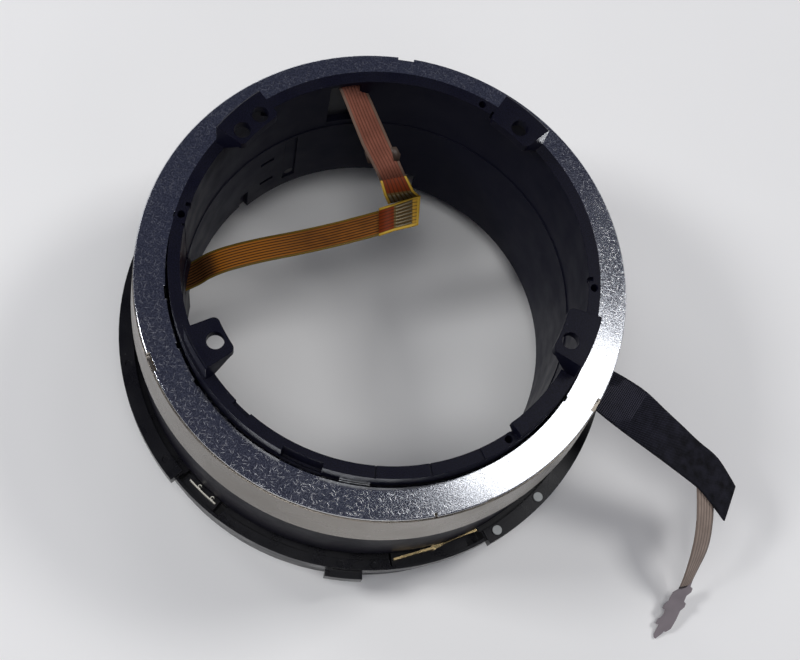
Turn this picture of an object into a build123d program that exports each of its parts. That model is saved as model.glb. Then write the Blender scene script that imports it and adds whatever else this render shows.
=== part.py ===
from build123d import *

import math
import os

# Focus drive unit of a camera lens: a tube with drilled lugs that carries a ring motor,
# a manual ring, a roller differential and an output ring, with its flexible circuits.
# Millimetres. The origin is the centre of the foot on the floor, +Z runs along the axis.
# Azimuths are degrees from +X, counter-clockwise seen from above.

# Clearances
FIT = 0.05  # between pieces that are fixed to each other
RUN = 0.05  # between pieces that slide on each other
PIN_RUN = 0.02  # roller bore over axle
BALL_RUN = 0.03  # race groove over ball
SIDE_RUN = 0.1  # beside a roller, a ball cage pocket or a sleeve
CUT = 2.0  # overrun of cuts past the faces they open

# Output ring, the foot that the unit stands on
FOOT_HEIGHT = 7.4
OUTPUT_HEIGHT = 10.6
FLANGE_GAP = 0.85
FLANGE_WIDTH = 1.55
FLANGE_LIP = 0.9
FLANGE_EDGE = 2.4
STEP_DROP = 1.0
SEGMENT_LIP = 0.7
SEGMENT_RISE = 0.6
SEGMENT_DEPTH = 1.8
SEGMENT_SPANS = [(-184.0, -118.9), (-39.8, 26.0), (58.0, 84.0), (96.0, 150.0)]
NOTCH_SPANS = [(-118.5, -105.5), (-63.4, -40.2)]
NOTCH_WALL = 0.5
NOTCH_FLOOR = 3.0
NOTCH_WIDTH = 2.1
LEDGE_SPANS = [(-117.2, -107.4), (-63.0, -44.4)]
LEDGE_DROP = 0.5
TAB_REACH = 1.2
TAB_HEIGHT = 2.5
TAB_DROP = 1.2
TAB_SPAN = (-78.2, -69.8)
SEGMENT_DIMPLE_AZIMUTHS = [-148.4, -123.5]
FLANGE_DIMPLE_AZIMUTHS = [-101.9, -75.2, -67.3]
SEGMENT_DIMPLE_INSET = 1.2
FLANGE_DIMPLE_INSET = 0.8
DIMPLE_R = 0.5
DIMPLE_DEPTH = 0.15

# Motor stack, from the web up
WALL_GAP = 0.9
WEB_RISE = 1.0
WEB_THICK = 4.0
SPRING_HEIGHT = 1.6
SPRING_THICK = 0.35
FELT_THICK = 1.5
PIEZO_THICK = 0.4
STATOR_HEIGHT = 4.25
TOOTH_DEPTH = 2.4
TOOTH_COUNT = 48
TOOTH_SLOT = 0.6
ROTOR_HEIGHT = 4.08
ROTOR_LIP = 1.1
ROTOR_WAIST = 0.8
STACK_WIDTH = 3.3
STACK_INSET = 0.3

# Tube of the barrel
BORE_R = 28.35
TUBE_WALL = 1.6
TUBE_BASE = 6.5
BORE_STEP = 0.15
BORE_STEP_DROP = 12.5
RIM_WALL = 1.7
RIM_DEPTH = 5.2
RIM_RISE = 3.6
EDGE_STEP_SPAN = (95.0, 192.0)
EDGE_STEP_RISE = 4.3
EDGE_RAISED_SPAN = (158.0, 192.0)
EDGE_RAISED_RISE = 6.5

# Lugs on the rim: azimuth of the middle, half its width in degrees, azimuths of its holes
LUG_AZIMUTHS = [
    (-129.6, 6.0, [-129.0]),
    (-2.7, 7.6, [-5.1]),
    (69.6, 7.6, [68.1]),
    (157.4, 7.9, [154.0, 161.4]),
]
LUG_RISE = 4.8
LUG_THICK = 1.5
LUG_REACH = 4.7
LUG_BACK = 0.3
LUG_WALL = 1.45
LUG_HOLE_R = 1.2
LUG_HOLE_PLACE_R = 26.85
LUG_CORNER = 0.8
LUG_CHAMFER = 0.2
RIB_DEGREES = 1.0
RIB_REACH = 2.4

# Features of the rim
RIM_HOLE_AZIMUTHS = [-171.3, -35.5, 16.6, 82.5]
RIM_HOLE_R = 0.55
RIM_HOLE_INSET = 0.9
RIM_HOLE_DEPTH = 3.0
RIM_NOTCH_SPANS = [(-114.4, -108.9), (-34.0, -32.6), (18.6, 19.8), (-175.2, -174.0), (76.6, 79.0)]
RIM_NOTCH_REACH = 0.65
RIM_NOTCH_DEPTH = 1.0
RIM_LINE_AZIMUTHS = [-72.5, -58.0, -43.8]
RIM_LINE_WIDTH = 0.25
RIM_LINE_DEPTH = 0.2
BLOCK_SPAN = (-33.0, -11.2)
BLOCK_RISE = 1.4
BLOCK_REACH = 0.7
BLOCK_DEPTH = 1.5
BLOCK_BACK = 0.15

# Window, board and slots in the tube
WINDOW_AZIMUTH = 123.0
WINDOW_WIDTH = 4.4
WINDOW_LOW = 28.0
WINDOW_BRIDGE = 0.8
WINDOW_SLOT = 1.4
BOARD_THICK = 0.6
OPENING_AZIMUTH = 147.0
OPENING_LOW = 15.3
OPENING_PITCH = 6.5
OPENING_COUNT = 2
OPENING_WIDTH = 2.5
OPENING_HEIGHT = 0.8
POCKET_AZIMUTH = 138.75
POCKET_WIDTH = 2.2
POCKET_LOW = 13.2
POCKET_HEIGHT = 12.8
POCKET_DEPTH = 0.25
POCKET_SLOT_DEPTH = 0.9
POCKET_SLOT_HEIGHT = 0.6
EDGE_POCKET_AZIMUTH = 156.3
EDGE_POCKET_WIDTH = 1.8
EDGE_POCKET_RISE = 5.4
EDGE_POCKET_DEPTH = 0.9
SLIT_AZIMUTH = -168.5
SLIT_WIDTH = 0.3
SLIT_DEPTH = 0.4
SLIT_LENGTH = 16.0

# Thrust plate on the rim
PLATE_WIDTH = 4.8
PLATE_THICK = 0.9
PLATE_FIT = 0.2
PLATE_EDGE = 0.12
PLATE_BEVEL = 0.25
PLATE_TAB_AZIMUTHS = [-77.0, 11.0, 171.0]
PLATE_TAB_TURN_DEGREES = -14.5
PLATE_TAB_DEGREES = 8.0
PLATE_TAB_REACH = 0.5
PLATE_TAB_EDGE = 0.1
PLATE_ENTRY_DEGREES = 11.2
PLATE_ENTRY_DEPTH = 0.7
PLATE_NOTCH_SPANS = [(103.6, 107.5), (-137.6, -132.9), (-58.2, -57.5), (-12.6, -9.0)]
PLATE_NOTCH_DEPTH = 0.5
PLATE_NICK_SPAN = (-45.7, -43.7)
PLATE_NICK_DEPTH = 0.15
PLATE_BORE_SPANS = [(-174.3, -172.9), (-153.4, -149.8), (-137.6, -136.0), (-126.7, -124.9), (-14.6, -13.0)]
PLATE_BORE_DEPTH = 0.45

# Manual ring and its ball race
MANUAL_FLANGE = 1.4
MANUAL_BORE_GAP = 1.0
BAND_WALL = 0.9
BAND_TAPER = 0.75
BAND_HEIGHT = 9.1
BAND_LIP = 0.46
BAND_EDGE = 0.15
BAND_GAP = 0.4
BALL_R = 0.5
BALL_COUNT = 24
RACE_INSET = 2.0
RACE_DEPTH = 0.12
RACE_WIDTH = 1.2
CAGE_WIDTH = 3.0
CAGE_THICK = 0.36

# Roller differential and its keys
ROLLER_R = 2.0
ROLLER_WIDTH = 1.9
ROLLER_INSET = 0.3
ROLLER_EDGE = 0.2
ROLLER_AZIMUTHS = [40.0, 160.0, 280.0]
AXLE_R = 0.6
AXLE_HEAD_R = 1.0
AXLE_HEAD = 0.4
CARRIER_WALL = 0.85
CARRIER_HEIGHT = 2.1
KEY_AZIMUTHS = [83.0, 263.0]
KEY_DEGREES = 10.0
KEY_THICK = 0.4
KEY_GAP = 0.15
KEY_TRAVEL_DEGREES = 45.0
KEY_SPARE_DEGREES = 2.0
KEY_ROOT = 3.7

# Motor housing
FLEX_CHANNEL = 0.95
HUB_WALL = 0.7
HUB_RISE = 2.1
HOUSING_WALL = 0.6
SKIRT_WALL = 0.8
SKIRT_INSET = 0.55
SKIRT_BASE = 2.0
RETAINER_THICK = 0.55
RETAINER_REACH = 1.2
RETAINER_LIFT = 0.3
RETAINER_SEAT = 0.4
RETAINER_GAP_DEGREES = 20.0
SCREW_AZIMUTHS = [138.3, -101.7, -41.7]
SCREW_R = 0.5
SCREW_HEAD_R = 0.7
SCREW_HEAD = 0.45
SCREW_LENGTH = 3.3
SCREW_RISE = 1.9

# Contacts, brush and stakes on the output ring
STRIP_SPAN = (-116.2, -107.9)
STRIP_SHARE = 0.49
STRIP_THICK = 0.2
STRIP_HEIGHT = 0.8
CURL_AZIMUTHS = [-113.4, -109.3]
CURL_R = 0.3
CURL_THICK = 0.1
CURL_HEIGHT = 0.8
BRUSH_SPAN = (-62.6, -52.9)
BRUSH_SHARES = (0.54, 0.26)
BRUSH_THICK = 0.35
BRUSH_HEIGHT = 0.8
WIRE_END_AZIMUTH = -40.9
WIRE_END_SHARE = 0.22
WIRE_THICK = 0.14
WIRE_PITCH = 0.25
WIRE_COUNT = 3
WIRE_HEAD = 0.35
WIRE_JOIN_SHARE = 0.4
LEAF_SHARE = 0.7
LEAF_WIDTH = 0.42
STAKE_AZIMUTHS = [-36.8, -23.9]
STAKE_R = 0.72
STAKE_INSET = 1.2
STAKE_RISE = 0.25
STAKE_DEPTH = 1.5

# Flexible circuits and tape: sections, and routes as distance along a line and height
POSITION_FLEX_WIDTH = 3.9
BOARD_FLEX_WIDTH = 3.0
MOTOR_FLEX_WIDTH = 3.3
FLEX_THICK = 0.12
TAPE_WIDTH = 6.2
TAPE_THICK = 0.35
TAPE_LIFT = 0.4
PAD_THICK = 0.2
PAD_WIDTH = 4.8
FLEX_SLOT_HEIGHT = 1.6
FLEX_SLOT_SPARE = 0.5
POSITION_FLEX_START = (-27.81, -6.2)
POSITION_FLEX_AZIMUTH = 38.0
POSITION_FLEX_ROUTE = [
    (-1.5, 19.6),
    (0.8, 20.3),
    (3.9, 23.7),
    (10.0, 24.4),
    (19.0, 23.2),
    (27.5, 23.3),
    (31.8, 23.9),
]
POSITION_PAD_LENGTH = 4.5
BOARD_FLEX_START = (-14.9, 24.1)
BOARD_FLEX_AZIMUTH = -31.6
BOARD_FLEX_ROUTE = [(-0.8, 37.6), (1.0, 37.3), (3.6, 34.3), (7.4, 31.1), (11.2, 28.2)]
BOARD_PAD_LENGTH = 5.2
BOARD_PAD_TURN_DEGREES = -14.0
BOARD_PAD_SLOPE_DEGREES = 46.5
MOTOR_FLEX_START = (35.5, 2.0)
MOTOR_FLEX_AZIMUTH = -14.0
MOTOR_FLEX_ROUTE = [(-1.25, 19.9), (2.2, 20.7), (6.6, 21.0), (12.4, 19.8), (18.0, 17.6), (22.0, 15.7)]
MOTOR_LEG_TURN_DEGREES = 44.5
MOTOR_LEG_ROUTE = [(-1.3, 0.0), (2.2, -0.1), (6.6, -0.6), (11.2, -2.1), (15.2, -4.8), (18.2, -7.0)]
TIP_END = (60.8, -26.5, 0.25)
TIP_WIDTH = 3.6
TIP_THICK = 0.3
TIP_LAP = 1.4
# Outline of the tip with its ears, as shares of its length and of its width
TIP_SHARES = [
    (0.285, -0.369),
    (0.37, -0.365),
    (0.425, -0.336),
    (0.495, -0.414),
    (0.564, -0.417),
    (0.569, -0.354),
    (0.567, -0.286),
    (0.625, -0.233),
    (0.688, -0.248),
    (0.742, -0.333),
    (0.807, -0.324),
    (0.808, -0.271),
    (0.796, -0.176),
    (0.96, -0.142),
    (0.995, -0.079),
    (1.004, 0.007),
    (0.893, 0.134),
    (0.849, 0.166),
    (0.838, 0.254),
    (0.76, 0.369),
    (0.615, 0.362),
    (0.466, 0.314),
    (0.388, 0.394),
    (0.334, 0.367),
    (0.32, 0.251),
    (0.229, 0.216),
    (0.149, 0.311),
    (0.095, 0.284),
    (0.083, 0.157),
    (0.007, 0.108),
]
TAPE_ROUTE = [(1.1, 21.1), (4.3, 21.5), (8.9, 21.2), (14.3, 19.7), (19.4, 17.5), (24.4, 14.9), (28.3, 11.9)]
RADIUS_SHARE = 0.45

# Radii worked out from the sizes above
TUBE_R = BORE_R + TUBE_WALL
RIM_BORE_R = BORE_R + BORE_STEP
RIM_R = RIM_BORE_R + RIM_WALL
PLATE_R = RIM_R + PLATE_WIDTH
RACE_R = PLATE_R - RACE_INSET
ROLLER_TRACK_R = RACE_R - ROLLER_INSET
STACK_IN_R = TUBE_R + FLEX_CHANNEL
STACK_R = STACK_IN_R + STACK_WIDTH
KEY_IN_R = STACK_R + KEY_GAP
KEY_OUT_R = KEY_IN_R + KEY_THICK
WALL_IN_R = KEY_OUT_R + KEY_GAP
WALL_R = WALL_IN_R + HOUSING_WALL
SKIRT_R = KEY_IN_R - SKIRT_INSET
SKIRT_IN_R = SKIRT_R - SKIRT_WALL
SLEEVE_R = WALL_IN_R - SIDE_RUN
CARRIER_IN_R = KEY_OUT_R - CARRIER_WALL
BAND_IN_R = KEY_OUT_R + KEY_GAP + SIDE_RUN
BAND_R = BAND_IN_R + BAND_WALL
MANUAL_BORE_R = RIM_R + MANUAL_BORE_GAP
RETAINER_R = SKIRT_R + RETAINER_REACH
FOOT_IN_R = RETAINER_R + SIDE_RUN
FLANGE_IN_R = WALL_R + FLANGE_GAP
FLANGE_R = FLANGE_IN_R + FLANGE_WIDTH
FOOT_R = FLANGE_R - FLANGE_LIP
SEGMENT_R = FLANGE_R + SEGMENT_LIP
TAB_R = FLANGE_R + TAB_REACH
LUG_R = RIM_R - LUG_BACK
WINDOW_R = RIM_R + FIT
LUG_TIP_R = LUG_R - LUG_REACH
RACE_FLOOR_GAP = BALL_R + BALL_RUN

# Heights worked out from the sizes above
WALL_LOW = OUTPUT_HEIGHT + WALL_GAP
WEB_LOW = WALL_LOW + WEB_RISE
WEB_TOP = WEB_LOW + WEB_THICK
FELT_LOW = WEB_TOP + SPRING_HEIGHT
PIEZO_LOW = FELT_LOW + FELT_THICK
STATOR_LOW = PIEZO_LOW + PIEZO_THICK
ROTOR_LOW = STATOR_LOW + STATOR_HEIGHT + RUN
ROTOR_TOP = ROTOR_LOW + ROTOR_HEIGHT
ROLLER_Z = ROTOR_TOP + RUN + ROLLER_R
MANUAL_LOW = ROLLER_Z + ROLLER_R + RUN
MANUAL_TOP = MANUAL_LOW + MANUAL_FLANGE
RACE_Z = MANUAL_TOP - RACE_DEPTH + RACE_FLOOR_GAP
PLATE_LOW = RACE_Z + RACE_FLOOR_GAP - RACE_DEPTH
PLATE_TOP = PLATE_LOW + PLATE_THICK
RIM_TOP = PLATE_TOP + RIM_RISE
RIM_LOW = RIM_TOP - RIM_DEPTH
LUG_TOP = RIM_TOP + LUG_RISE
BAND_TOP = MANUAL_TOP + BAND_LIP
BAND_LOW = BAND_TOP - BAND_HEIGHT
WALL_TOP = BAND_LOW - BAND_GAP
SEGMENT_TOP = OUTPUT_HEIGHT + SEGMENT_RISE
LEDGE_TOP = OUTPUT_HEIGHT - LEDGE_DROP
SKIRT_LEDGE = SKIRT_BASE + RETAINER_LIFT + RETAINER_THICK + SIDE_RUN
CARRIER_LOW = ROLLER_Z - CARRIER_HEIGHT / 2
CARRIER_TOP = ROLLER_Z + CARRIER_HEIGHT / 2
SLEEVE_TOP = WEB_LOW - SIDE_RUN
KEY_LOW = SLEEVE_TOP - KEY_ROOT
SCREW_Z = WEB_LOW + SCREW_RISE


def ring(*profile):
    """Full turn of a closed outline given as (radius, height) points."""
    return revolve(make_face(Plane.XZ * Polyline(*profile, close=True)), Axis.Z)


def arc(start, end, *profile):
    """Part turn, from azimuth start to end, of an outline of (radius, height) points."""
    face = make_face(Plane.XZ * Polyline(*profile, close=True))
    return Rot(0, 0, start) * revolve(face, Axis.Z, revolution_arc=end - start)


def corners(inner, outer, low, high):
    return [(inner, low), (outer, low), (outer, high), (inner, high)]


def washer(inner, outer, low, high):
    return ring(*corners(inner, outer, low, high))


def sector(start, end, inner, outer, low, high):
    return arc(start, end, *corners(inner, outer, low, high))


def at(azimuth, radius, height):
    """Frame on the circle of that radius, X outwards and Z up."""
    return Rot(0, 0, azimuth) * Pos(radius, 0, height)


def radial_rod(azimuth, inner, outer, height, radius):
    middle = (inner + outer) / 2
    return at(azimuth, middle, height) * Rot(0, 90, 0) * Cylinder(radius, outer - inner)


def radial_block(azimuth, inner, outer, width, low, high):
    middle = (inner + outer) / 2
    return at(azimuth, middle, (low + high) / 2) * Box(outer - inner, width, high - low)


def drill(azimuth, place, radius, low, high):
    return at(azimuth, place, (low + high) / 2) * Cylinder(radius, high - low)


def even_azimuths(count):
    return [index * 360 / count for index in range(count)]


def group(solids):
    return Compound(children=[Part() + solid for solid in solids])


def barrel():
    body = ring(
        (BORE_R, TUBE_BASE),
        (TUBE_R, TUBE_BASE),
        (TUBE_R, RIM_LOW),
        (RIM_R, RIM_LOW),
        (RIM_R, RIM_TOP),
        (RIM_BORE_R, RIM_TOP),
        (RIM_BORE_R, RIM_TOP - BORE_STEP_DROP),
        (BORE_R, RIM_TOP - BORE_STEP_DROP),
    )
    # Groove and entries that the plate's tabs turn into
    groove_r = RIM_R - PLATE_TAB_REACH + PLATE_FIT - FIT
    cuts = [washer(groove_r, RIM_R + CUT, PLATE_LOW - FIT, PLATE_TOP + FIT)]
    for middle in PLATE_TAB_AZIMUTHS:
        start = middle + PLATE_TAB_TURN_DEGREES - PLATE_ENTRY_DEGREES / 2
        entry = (RIM_R - PLATE_ENTRY_DEPTH, RIM_R + CUT, PLATE_TOP - PLATE_THICK / 2, RIM_TOP + CUT)
        cuts.append(sector(start, start + PLATE_ENTRY_DEGREES, *entry))
    # Steps in the lower edge
    for span, rise in ((EDGE_STEP_SPAN, EDGE_STEP_RISE), (EDGE_RAISED_SPAN, EDGE_RAISED_RISE)):
        cuts.append(sector(*span, BORE_R - CUT, TUBE_R + CUT, TUBE_BASE - CUT, TUBE_BASE + rise))
    # Holes, notches and moulded lines of the rim
    for azimuth in RIM_HOLE_AZIMUTHS:
        place = RIM_R - RIM_HOLE_INSET
        cuts.append(drill(azimuth, place, RIM_HOLE_R, RIM_TOP - RIM_HOLE_DEPTH, RIM_TOP + CUT))
    notch = (RIM_BORE_R - CUT, RIM_BORE_R + RIM_NOTCH_REACH, RIM_TOP - RIM_NOTCH_DEPTH, RIM_TOP + CUT)
    cuts += [sector(*span, *notch) for span in RIM_NOTCH_SPANS]
    line = (BORE_R, RIM_R + CUT, RIM_LINE_WIDTH, RIM_TOP - RIM_LINE_DEPTH, RIM_TOP + CUT)
    cuts += [radial_block(azimuth, *line) for azimuth in RIM_LINE_AZIMUTHS]
    cuts += window_cuts() + wall_cuts()
    body = body - cuts
    for middle, half, azimuths in LUG_AZIMUTHS:
        body = body + lug(middle, half)
    # Raised block, whose overhang starts with a slope so that it can be moulded
    body = body + arc(
        *BLOCK_SPAN,
        (RIM_R - RIM_WALL / 2, RIM_TOP - BLOCK_DEPTH),
        (RIM_R - BLOCK_BACK, RIM_TOP - BLOCK_DEPTH),
        (RIM_R - BLOCK_BACK, RIM_TOP + BLOCK_RISE),
        (RIM_BORE_R - BLOCK_REACH, RIM_TOP + BLOCK_RISE),
        (RIM_BORE_R - BLOCK_REACH, RIM_TOP),
    )
    holes = []
    for middle, half, azimuths in LUG_AZIMUTHS:
        for azimuth in azimuths:
            low = LUG_TOP - LUG_THICK - CUT
            holes.append(drill(azimuth, LUG_HOLE_PLACE_R, LUG_HOLE_R, low, LUG_TOP + CUT))
    return body - holes


def window_cuts():
    top = RIM_TOP - WINDOW_BRIDGE
    inner = BORE_R - CUT
    recess = radial_block(WINDOW_AZIMUTH, inner, WINDOW_R, WINDOW_WIDTH, WINDOW_LOW, top)
    slot = radial_block(WINDOW_AZIMUTH, inner, RIM_R + CUT, WINDOW_WIDTH, top - WINDOW_SLOT, top)
    return [recess, slot]


def wall_cuts():
    cuts = []
    for index in range(OPENING_COUNT):
        low = OPENING_LOW + index * OPENING_PITCH
        opening = (OPENING_WIDTH, low, low + OPENING_HEIGHT)
        cuts.append(radial_block(OPENING_AZIMUTH, BORE_R - CUT, TUBE_R + CUT, *opening))
    pocket_top = POCKET_LOW + POCKET_HEIGHT
    pocket = (POCKET_WIDTH, POCKET_LOW, pocket_top)
    cuts.append(radial_block(POCKET_AZIMUTH, BORE_R - CUT, BORE_R + POCKET_DEPTH, *pocket))
    slot = (POCKET_WIDTH, pocket_top - POCKET_SLOT_HEIGHT, pocket_top)
    cuts.append(radial_block(POCKET_AZIMUTH, BORE_R - CUT, BORE_R + POCKET_SLOT_DEPTH, *slot))
    edge_top = TUBE_BASE + EDGE_STEP_RISE + EDGE_POCKET_RISE
    edge = (EDGE_POCKET_WIDTH, TUBE_BASE - CUT, edge_top)
    cuts.append(radial_block(EDGE_POCKET_AZIMUTH, BORE_R - CUT, BORE_R + EDGE_POCKET_DEPTH, *edge))
    slit = (SLIT_WIDTH, RIM_TOP - SLIT_LENGTH, RIM_TOP + CUT)
    cuts.append(radial_block(SLIT_AZIMUTH, BORE_R - CUT, RIM_BORE_R + SLIT_DEPTH, *slit))
    for azimuth in SCREW_AZIMUTHS:
        cuts.append(radial_rod(azimuth, BORE_R - CUT, TUBE_R + CUT, SCREW_Z, SCREW_R + FIT))
        seat = BORE_R + POCKET_DEPTH + SCREW_HEAD
        cuts.append(radial_rod(azimuth, BORE_R - CUT, seat, SCREW_Z, SCREW_HEAD_R + FIT))
    place = (POSITION_FLEX_START, POSITION_FLEX_AZIMUTH)
    cuts.append(flex_slot(*place, POSITION_FLEX_WIDTH, POSITION_FLEX_ROUTE))
    return cuts


def flex_slot(start, azimuth, width, route):
    """Opening in a wall that a flexible circuit leaves by, at the start of its route."""
    height = (route[0][1] + route[1][1]) / 2
    block = Box(TUBE_WALL + 2 * CUT, width + 2 * FLEX_SLOT_SPARE, FLEX_SLOT_HEIGHT)
    return Pos(*start, height) * Rot(0, 0, azimuth) * block


def lug(middle, half):
    low = LUG_TOP - LUG_THICK
    inside = low + LUG_THICK / 2
    tab = arc(
        middle - half,
        middle + half,
        (LUG_TIP_R, low),
        (LUG_R, low),
        (LUG_R, LUG_TOP - LUG_CHAMFER),
        (LUG_R - LUG_CHAMFER, LUG_TOP),
        (LUG_TIP_R, LUG_TOP),
    )
    tab = fillet(tip_edges(tab), LUG_CORNER)
    post = sector(middle - half, middle + half, LUG_R - LUG_WALL, LUG_R, RIM_TOP - LUG_WALL, inside)
    rib = [
        (LUG_R - LUG_WALL / 2, RIM_TOP - LUG_WALL / 2),
        (LUG_R - LUG_WALL / 2, inside),
        (LUG_R - LUG_WALL - RIB_REACH, inside),
        (LUG_R - LUG_WALL - RIB_REACH, low),
        (LUG_R - LUG_WALL, RIM_TOP),
    ]
    left = arc(middle - half, middle - half + RIB_DEGREES, *rib)
    right = arc(middle + half - RIB_DEGREES, middle + half, *rib)
    return tab + post + left + right


def tip_edges(tab):
    """The two upright edges of a lug's tab that lie nearest the axis."""
    upright = tab.edges().filter_by(Axis.Z)
    return sorted(upright, key=lambda edge: math.hypot(edge.center().X, edge.center().Y))[:2]


def sensor_board():
    top = RIM_TOP - WINDOW_BRIDGE - WINDOW_SLOT - FIT
    outer = WINDOW_R - FIT
    width = WINDOW_WIDTH - 2 * FIT
    return radial_block(WINDOW_AZIMUTH, outer - BOARD_THICK, outer, width, WINDOW_LOW + FIT, top)


def thrust_plate():
    inner = RIM_R + PLATE_FIT
    body = ring(
        (inner, PLATE_LOW),
        (PLATE_R, PLATE_LOW),
        (PLATE_R, PLATE_TOP - PLATE_EDGE),
        (PLATE_R - PLATE_EDGE, PLATE_TOP),
        (inner + PLATE_BEVEL, PLATE_TOP),
        (inner, PLATE_TOP - PLATE_BEVEL),
    )
    cuts = [race_groove(PLATE_LOW - CUT, PLATE_LOW + RACE_DEPTH)]
    through = (PLATE_LOW - CUT, PLATE_TOP + CUT)
    notch_r, nick_r = PLATE_R - PLATE_NOTCH_DEPTH, PLATE_R - PLATE_NICK_DEPTH
    cuts += [sector(*span, notch_r, PLATE_R + CUT, *through) for span in PLATE_NOTCH_SPANS]
    cuts.append(sector(*PLATE_NICK_SPAN, nick_r, PLATE_R + CUT, *through))
    cuts += [sector(*span, inner - CUT, inner + PLATE_BORE_DEPTH, *through) for span in PLATE_BORE_SPANS]
    body = body - cuts
    for middle in PLATE_TAB_AZIMUTHS:
        start = middle - PLATE_TAB_DEGREES / 2
        reach = (RIM_R - PLATE_TAB_REACH + PLATE_FIT, inner + PLATE_BEVEL)
        heights = (PLATE_LOW + PLATE_TAB_EDGE, PLATE_TOP - PLATE_BEVEL)
        body = body + sector(start, start + PLATE_TAB_DEGREES, *reach, *heights)
    return body


def manual_ring():
    lip_in = RACE_R + CAGE_WIDTH / 2 + SIDE_RUN
    body = ring(
        (MANUAL_BORE_R, MANUAL_LOW),
        (BAND_IN_R, MANUAL_LOW),
        (BAND_IN_R, BAND_LOW),
        (BAND_R - BAND_EDGE, BAND_LOW),
        (BAND_R, BAND_LOW + BAND_EDGE),
        (BAND_R - BAND_TAPER, BAND_TOP),
        (lip_in, BAND_TOP),
        (lip_in, MANUAL_TOP),
        (MANUAL_BORE_R, MANUAL_TOP),
    )
    return body - race_groove(MANUAL_TOP - RACE_DEPTH, MANUAL_TOP + CUT)


def race_groove(low, high):
    """Flat groove that the balls roll in."""
    return washer(RACE_R - RACE_WIDTH / 2, RACE_R + RACE_WIDTH / 2, low, high)


def race_balls():
    return group([at(azimuth, RACE_R, RACE_Z) * Sphere(BALL_R) for azimuth in even_azimuths(BALL_COUNT)])


def ball_cage():
    low, high = RACE_Z - CAGE_THICK / 2, RACE_Z + CAGE_THICK / 2
    body = washer(RACE_R - CAGE_WIDTH / 2, RACE_R + CAGE_WIDTH / 2, low, high)
    pocket = (RACE_R, BALL_R + RUN, low - CUT, high + CUT)
    return body - [drill(azimuth, *pocket) for azimuth in even_azimuths(BALL_COUNT)]


def roller(azimuth):
    inner, outer = ROLLER_TRACK_R - ROLLER_WIDTH / 2, ROLLER_TRACK_R + ROLLER_WIDTH / 2
    body = radial_rod(azimuth, inner, outer, ROLLER_Z, ROLLER_R)
    body = chamfer(body.edges(), ROLLER_EDGE)
    return body - radial_rod(azimuth, inner - CUT, outer + CUT, ROLLER_Z, AXLE_R + PIN_RUN)


def roller_axles():
    head_outer = ROLLER_TRACK_R - ROLLER_WIDTH / 2 - SIDE_RUN
    end = CARRIER_IN_R + CARRIER_WALL / 2
    axles = []
    for azimuth in ROLLER_AZIMUTHS:
        rod = radial_rod(azimuth, head_outer - AXLE_HEAD / 2, end, ROLLER_Z, AXLE_R)
        head = radial_rod(azimuth, head_outer - AXLE_HEAD, head_outer, ROLLER_Z, AXLE_HEAD_R)
        axles.append(rod + head)
    return group(axles)


def roller_carrier():
    body = washer(CARRIER_IN_R, KEY_OUT_R, CARRIER_LOW, CARRIER_TOP)
    cuts = [key_shape(azimuth, FIT, CARRIER_LOW - CUT, CARRIER_TOP + CUT) for azimuth in KEY_AZIMUTHS]
    hole = (CARRIER_IN_R - CUT, CARRIER_IN_R + CARRIER_WALL / 2 + FIT, ROLLER_Z, AXLE_R + FIT)
    cuts += [radial_rod(azimuth, *hole) for azimuth in ROLLER_AZIMUTHS]
    return body - cuts


def key_shape(azimuth, spare, low, high):
    """A drive key, or with spare room round it the slot that holds one."""
    half = KEY_DEGREES / 2 + math.degrees(spare / KEY_IN_R)
    outer = KEY_OUT_R + (CUT if spare else 0)
    return sector(azimuth - half, azimuth + half, KEY_IN_R - spare, outer, low, high)


def drive_keys():
    return group([key_shape(azimuth, 0, KEY_LOW, CARRIER_TOP) for azimuth in KEY_AZIMUTHS])


def rotor():
    waist_in, waist_out = STACK_IN_R + ROTOR_WAIST, STACK_R - ROTOR_WAIST
    return ring(
        (STACK_IN_R, ROTOR_LOW),
        (STACK_R, ROTOR_LOW),
        (STACK_R, ROTOR_LOW + ROTOR_LIP),
        (waist_out, ROTOR_LOW + ROTOR_LIP),
        (waist_out, ROTOR_TOP - ROTOR_LIP),
        (STACK_R, ROTOR_TOP - ROTOR_LIP),
        (STACK_R, ROTOR_TOP),
        (STACK_IN_R, ROTOR_TOP),
        (STACK_IN_R, ROTOR_TOP - ROTOR_LIP),
        (waist_in, ROTOR_TOP - ROTOR_LIP),
        (waist_in, ROTOR_LOW + ROTOR_LIP),
        (STACK_IN_R, ROTOR_LOW + ROTOR_LIP),
    )


def stator():
    top = STATOR_LOW + STATOR_HEIGHT
    body = washer(STACK_IN_R, STACK_R, STATOR_LOW, top)
    slot = (STACK_IN_R - CUT, STACK_R + CUT, TOOTH_SLOT, top - TOOTH_DEPTH, top + CUT)
    return body - [radial_block(azimuth, *slot) for azimuth in even_azimuths(TOOTH_COUNT)]


def stack_ring(low, thick):
    return washer(STACK_IN_R + STACK_INSET, STACK_R - STACK_INSET, low, low + thick)


def spring_washer():
    inner, outer = STACK_IN_R + STACK_INSET, STACK_R - STACK_INSET
    rise = SPRING_HEIGHT - SPRING_THICK
    return ring(
        (inner, WEB_TOP),
        (outer, WEB_TOP + rise),
        (outer, WEB_TOP + SPRING_HEIGHT),
        (inner, WEB_TOP + SPRING_THICK),
    )


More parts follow.
